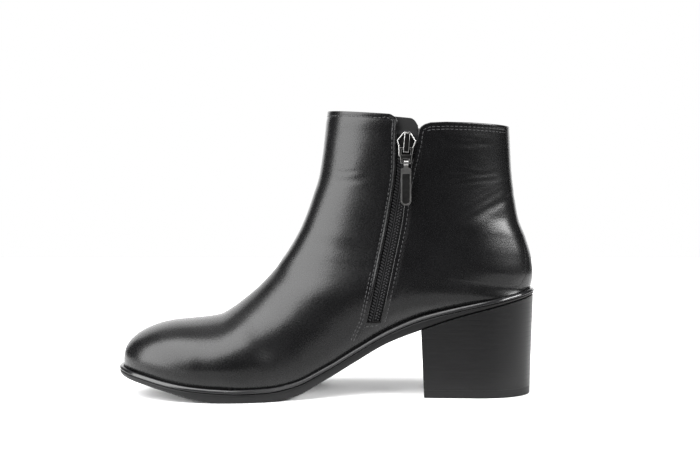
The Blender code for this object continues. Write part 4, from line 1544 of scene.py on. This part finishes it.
class BOOT_OT_stitches(bpy.types.Operator):
    """Adds the stitches along the slot, the seams and the collar"""

    bl_idname = "boot.stitches"
    bl_label = "Stitches"

    def execute(self, context):
        looks = context.scene.boot_leather
        pitch = looks.stitch_pitch / MM
        ahead = medial_line(set_off(FRONT_SEAM, BESIDE))
        behind = medial_line(set_off(BACK_EDGE, -BESIDE))
        collar = section_points(shaft_section(SHAFT[-1].back_z - BESIDE))
        turn = min(range(len(collar) // 2), key=lambda index: (collar[index] - ahead[-1]).length)
        lines = [ahead + collar[turn + 2 :], behind]
        lines.append([Vector((point.x, -point.y, point.z)) for point in ahead])
        low = [place for place in FRONT_SEAM if place.y < LOW_ROW_TOP]
        lines.append(medial_line(set_off(low, BESIDE + LOW_ROW)))
        lines.append(medial_line(line_of(SLOT_END_ROW)))
        edge = [place for place in BACK_EDGE if place.y > CORNER_ROW_LOW]
        lines.append(medial_line(set_off(edge, -BESIDE - CORNER_ROW)))
        places = []
        for line in lines:
            places += stitch_row(line, pitch, STITCH_SINK)
        mesh = bmesh.new()
        set_beads(mesh, bead(STITCH_LONG * pitch, STITCH_WIDE, STITCH_HIGH), places)
        piece("boot_stitches", mesh, thread_finish("waxed_thread", looks.thread))
        return {"FINISHED"}


# Slider and pull, as half outlines in X and Z about their own points
KITE_HALF = [(1.9, 7.4), (5.6, 2.2), (4.5, -1.2), (3.9, -7.0)]
KITE_PANEL = [(1.5, 6.8), (4.9, 2.05), (3.85, -1.2), (3.3, -6.4)]
KITE_CORNER, PANEL_CORNER, PANEL_DEPTH, PANEL_LESS, FILM_HALF = 1.0, 0.8, 0.5, 0.05, 0.06
SLIDER_Z, SLIDER_SHIFT, SLIDER_LIFT, SLIDER_THICK = 149.6, 0.8, 0.5, 2.1
SLIDER_SLANT, SLIDER_DARK, PULL_DARK = math.radians(4.5), 0.10, 0.2
BRIDGE_HALF, BRIDGE_BAR, BRIDGE_ROOM, BRIDGE_LEG = 1.6, 1.0, 2.0, 1.5
BRIDGE_TOP, BRIDGE_LOW, BRIDGE_SUNK = 6.8, -4.6, 0.6
INLAY_SIDE, INLAY_END, INLAY_CORNER, INLAY_PROUD, INLAY_SUNK = 0.4, 0.7, 0.3, 0.03, 0.1
METAL_STEPS = 3

# Outline and eyes of the link and of its inlay, each with the radius of its corners
LINK_PLATE = [([(4.1, 0.6), (3.0, -9.0)], 0.9)]
LINK_PLATE += [([(2.6, -0.6), (2.6, -3.7)], 0.4), ([(1.9, -6.1), (1.9, -8.0)], 0.4)]
LINK_INLAY = [([(3.65, 0.2), (2.6, -8.6)], 0.7)]
LINK_INLAY += [([(2.9, -0.3), (2.9, -4.0)], 0.4), ([(2.15, -5.85), (2.15, -8.2)], 0.3)]
LINK_FRONT, LINK_BACK = -0.5, 0.5
TAB_OUTER = [(1.3, -1.2), (1.3, -2.7), (3.0, -3.3), (3.0, -22.2), (2.6, -23.5), (1.7, -24.35), (0.6, -24.6)]
TAB_PANEL = [(2.2, -6.3), (2.2, -22.1), (1.8, -23.1), (0.7, -23.7)]
TAB_CORNER, TAB_PANEL_CORNER, TAB_PANEL_LESS = 0.5, 0.6, 0.04
TAB_FRONT, TAB_BACK, TAB_FLOOR = -0.7, 0.7, -0.2
RING_OUTER, RING_INNER, RING_HALF, RING_STEPS = 1.8, 0.95, 1.3, 28


class BOOT_OT_slider(bpy.types.Operator):
    """Adds the slider with its raised rim and bridge"""

    bl_idname = "boot.slider"
    bl_label = "Slider"

    def execute(self, context):
        middle = zip_middle(SLIDER_Z) + SLIDER_SHIFT
        leather, _ = on_leather(Leather.smooth, middle, SLIDER_Z)
        front, back = -SLIDER_LIFT - SLIDER_THICK, -SLIDER_LIFT
        floor = front + PANEL_DEPTH
        outer, inner = symmetric(KITE_HALF, KITE_CORNER), symmetric(KITE_PANEL, PANEL_CORNER)
        mesh = sunk_plate(outer, inner, front, back, floor)
        panel = film(KITE_PANEL, PANEL_CORNER, PANEL_LESS, floor)
        out = BRIDGE_ROOM + BRIDGE_BAR
        arch = [(-BRIDGE_SUNK, BRIDGE_TOP), (out, BRIDGE_TOP), (out, BRIDGE_LOW), (-BRIDGE_SUNK, BRIDGE_LOW)]
        low, high = BRIDGE_LOW + BRIDGE_LEG, BRIDGE_TOP - BRIDGE_LEG
        arch += [(-BRIDGE_SUNK, low), (BRIDGE_ROOM, low), (BRIDGE_ROOM, high), (-BRIDGE_SUNK, high)]
        bridge = plate([arch], -BRIDGE_HALF, BRIDGE_HALF)
        bmesh.ops.rotate(bridge, verts=bridge.verts, matrix=Matrix.Rotation(-0.5 * math.pi, 3, "Z"))
        bmesh.ops.translate(bridge, verts=bridge.verts, vec=Vector((0.0, front, 0.0)))
        join(mesh, bridge)
        side, face = BRIDGE_HALF - INLAY_SIDE, front - out
        inlay = [(side, BRIDGE_TOP - INLAY_END), (side, BRIDGE_LOW + INLAY_END)]
        join(panel, plate([symmetric(inlay, INLAY_CORNER)], face - INLAY_PROUD, face + INLAY_SUNK))
        place = Vector((middle, leather.y, SLIDER_Z))
        for part in (mesh, panel):
            set_at(part, place, SLIDER_SLANT)
        looks = context.scene.boot_zip
        finish = metal_finish("slider_nickel", looks.metal)
        made = piece("zip_slider_body", mesh, finish, nodes=["zip_slider"])
        soften(made, SLIDER_ROUND, METAL_STEPS)
        finish = metal_finish("slider_dark", shade_of(looks.metal, SLIDER_DARK))
        piece("zip_slider_panel", panel, finish)
        return {"FINISHED"}


def hinge_of(name):
    """Place of a joint's axis, in millimetres."""
    for joint in frame["joints"]:
        if joint["name"] == name:
            return Vector(joint["pos_m"]) / MM
    raise ValueError("the frame has no joint named " + name)


class BOOT_OT_pull(bpy.types.Operator):
    """Adds the link on the bridge and the tab that hangs from it"""

    bl_idname = "boot.pull"
    bl_label = "Pull"

    def execute(self, context):
        looks = context.scene.boot_zip
        finish = metal_finish("pull_nickel", looks.metal)
        dark = metal_finish("pull_dark", shade_of(looks.metal, PULL_DARK))
        hinge = hinge_of("link_swing")
        link = plate([symmetric(*row) for row in LINK_PLATE], LINK_FRONT, LINK_BACK)
        rows = [symmetric(*row) for row in LINK_INLAY]
        inlay = plate(rows, LINK_FRONT - INLAY_PROUD, LINK_FRONT + INLAY_SUNK)
        piece("pull_link_inlay", set_at(inlay, hinge), dark, LINK)
        made = piece("pull_link_plate", set_at(link, hinge), finish, LINK, ["zip_pull_link"])
        soften(made, LINK_ROUND, METAL_STEPS)

        hinge = hinge_of("tab_swing")
        outer, inner = symmetric(TAB_OUTER, TAB_CORNER), symmetric(TAB_PANEL, TAB_PANEL_CORNER)
        tab = sunk_plate(outer, inner, TAB_FRONT, TAB_BACK, TAB_FLOOR)
        panel = film(TAB_PANEL, TAB_PANEL_CORNER, TAB_PANEL_LESS, TAB_FLOOR)
        piece("pull_tab_panel", set_at(panel, hinge), dark, TAB)
        ring = bmesh.new()
        section = [(-RING_HALF, RING_INNER), (RING_HALF, RING_INNER)]
        section += [(RING_HALF, RING_OUTER), (-RING_HALF, RING_OUTER)]
        edges = loop_at(ring, section, 0.0)
        bmesh.ops.spin(
            ring,
            geom=edges,
            cent=Vector(),
            axis=Vector((1.0, 0.0, 0.0)),
            angle=2.0 * math.pi,
            steps=RING_STEPS,
            use_merge=True,
        )
        bmesh.ops.recalc_face_normals(ring, faces=ring.faces)
        join(tab, ring)
        made = piece("pull_tab_plate", set_at(tab, hinge), finish, TAB, ["zip_pull_tab"])
        soften(made, TAB_ROUND, METAL_STEPS)
        return {"FINISHED"}


class SoftboxRow(NamedTuple):
    """A soft light: its place and aim in metres, width and height, turn about its aim, and power in watts."""

    name: str
    place: tuple
    aim: tuple
    width: float
    height: float
    roll: float
    power: float


SOFTBOXES = [
    SoftboxRow("key", (-0.79, -0.60, 0.80), (0.0, 0.0, 0.07), 1.2, 2.3, -16.0, 79.0),
    SoftboxRow("right", (1.06, -0.62, 0.64), (0.06, 0.0, 0.08), 0.95, 0.34, 0.0, 27.0),
    SoftboxRow("backdrop", (0.0, 1.6, 0.85), (0.0, 0.0, 0.30), 3.4, 1.6, 0.0, 33.0),
    SoftboxRow("overhead", (0.0, 0.2, 2.0), (0.0, 0.2, 0.0), 2.5, 2.5, 0.0, 12.0),
]
CAMERA_PLACE = (0.0137, -0.700, 0.125)
CAMERA_DIP = math.radians(2.32)
SENSOR_WIDTH, CLIP_NEAR, CLIP_FAR = 36.0, 0.01, 50.0

# The floor in metres: its extent, the band in Y over which it grows bright, and its painted shade: a darker
# colour in front of the boot, towards the camera
FLOOR_HALF, FLOOR_FRONT, FLOOR_DROP, FLOOR_STEPS = 1.3, -0.28, 0.0002, 8
DARK_UNTIL, BRIGHT_AFTER, PAINTED_FLOOR_SHADE, FLOOR_ROUGHNESS = -0.075, -0.04, 0.5, 0.6

# Strength of the surround for all rays but the camera's, which see the background
SURROUND, BACKGROUND = 0.055, 1.0
WHITE = (1.0, 1.0, 1.0, 1.0)


class BOOT_OT_stage(bpy.types.Operator):
    """Adds the pale floor, the soft lights and the camera"""

    bl_idname = "boot.stage"
    bl_label = "Stage"

    def execute(self, context):
        looks = context.scene.boot_stage
        self.add_floor(context, looks)
        for row in SOFTBOXES:
            self.add_softbox(context, row, looks.light)
        self.light_surround(context)
        lens = bpy.data.cameras.new("camera")
        lens.lens = looks.lens
        lens.sensor_width = SENSOR_WIDTH
        lens.clip_start, lens.clip_end = CLIP_NEAR, CLIP_FAR
        camera = bpy.data.objects.new("camera", lens)
        camera.location = CAMERA_PLACE
        camera.rotation_euler = (0.5 * math.pi - CAMERA_DIP, 0.0, 0.0)
        context.scene.collection.objects.link(camera)
        context.scene.camera = camera
        context.scene.view_settings.view_transform = "Standard"
        return {"FINISHED"}

    def add_floor(self, context, looks):
        """A pale floor that ends in front of the boot, with painted shade along its front."""
        mesh = bmesh.new()
        bmesh.ops.create_grid(mesh, x_segments=FLOOR_STEPS, y_segments=FLOOR_STEPS, size=FLOOR_HALF)
        share = 0.5 - 0.5 * FLOOR_FRONT / FLOOR_HALF
        bmesh.ops.scale(mesh, verts=mesh.verts, vec=Vector((1.0, share, 1.0)))
        bmesh.ops.translate(mesh, verts=mesh.verts, vec=Vector((0.0, FLOOR_HALF * (1.0 - share), 0.0)))
        data = bpy.data.meshes.new("floor")
        mesh.to_mesh(data)
        mesh.free()
        nodes = Nodes("pale_floor")
        # Painted shade: the floor's colour is darker in front of the boot, towards the camera
        bright = nodes.rise(nodes.part("Y"), DARK_UNTIL, BRIGHT_AFTER)
        tone = nodes.shades(bright, looks.floor, PAINTED_FLOOR_SHADE, 1.0)
        data.materials.append(nodes.set(Base_Color=tone, Roughness=FLOOR_ROUGHNESS))
        floor = bpy.data.objects.new("floor", data)
        floor.location.z = -FLOOR_DROP
        context.scene.collection.objects.link(floor)

    def add_softbox(self, context, row, factor):
        """A rectangular light turned towards its aim."""
        light = bpy.data.lights.new(row.name, "AREA")
        light.shape = "RECTANGLE"
        light.size, light.size_y = row.width, row.height
        light.energy = row.power * factor
        made = bpy.data.objects.new(row.name, light)
        made.location = row.place
        towards = Vector(row.aim) - Vector(row.place)
        turn = towards.to_track_quat("-Z", "Y").to_matrix() @ Matrix.Rotation(math.radians(row.roll), 3, "Z")
        made.rotation_euler = turn.to_euler()
        context.scene.collection.objects.link(made)

    def light_surround(self, context):
        """A white background for the camera, and a dim surround for the rest."""
        world = bpy.data.worlds.new("studio")
        context.scene.world = world
        world.use_nodes = True
        tree = world.node_tree
        dim, white = tree.nodes["Background"], tree.nodes.new("ShaderNodeBackground")
        path, mix = tree.nodes.new("ShaderNodeLightPath"), tree.nodes.new("ShaderNodeMixShader")
        tree.links.new(path.outputs["Is Camera Ray"], mix.inputs[0])
        for node, strength, socket in ((dim, SURROUND, 1), (white, BACKGROUND, 2)):
            node.inputs["Strength"].default_value = strength
            node.inputs["Color"].default_value = WHITE
            tree.links.new(node.outputs[0], mix.inputs[socket])
        tree.links.new(mix.outputs[0], tree.nodes["World Output"].inputs["Surface"])


OPERATORS = [
    BOOT_OT_upper,
    BOOT_OT_lining,
    BOOT_OT_sole,
    BOOT_OT_heel,
    BOOT_OT_zip,
    BOOT_OT_stitches,
    BOOT_OT_slider,
    BOOT_OT_pull,
    BOOT_OT_stage,
]
GROUPS = {
    "boot_leather": BootLeather,
    "boot_sole": BootSole,
    "boot_zip": BootZip,
    "boot_stage": BootStage,
}


class BOOT_PT_panel(bpy.types.Panel):
    """Lists the boot's settings and pieces"""

    bl_idname = "BOOT_PT_panel"
    bl_label = "Ankle Boot"
    bl_space_type = "VIEW_3D"
    bl_region_type = "UI"
    bl_category = "Ankle Boot"

    def draw(self, context):
        for name, group in GROUPS.items():
            box = self.layout.box()
            for setting in group.__annotations__:
                box.prop(getattr(context.scene, name), setting)
        for operator in OPERATORS:
            self.layout.operator(operator.bl_idname)


def register():
    for made in (*GROUPS.values(), *OPERATORS, BOOT_PT_panel):
        bpy.utils.register_class(made)
    for name, group in GROUPS.items():
        setattr(bpy.types.Scene, name, bpy.props.PointerProperty(type=group))


def unregister():
    for name in GROUPS:
        delattr(bpy.types.Scene, name)
    for made in (BOOT_PT_panel, *reversed(OPERATORS), *reversed(list(GROUPS.values()))):
        bpy.utils.unregister_class(made)


def main():
    register()
    bpy.ops.boot.upper()
    bpy.ops.boot.lining()
    bpy.ops.boot.sole()
    bpy.ops.boot.heel()
    bpy.ops.boot.zip()
    bpy.ops.boot.stitches()
    bpy.ops.boot.slider()
    bpy.ops.boot.pull()
    bpy.ops.boot.stage()


if __name__ == "__main__":
    main()
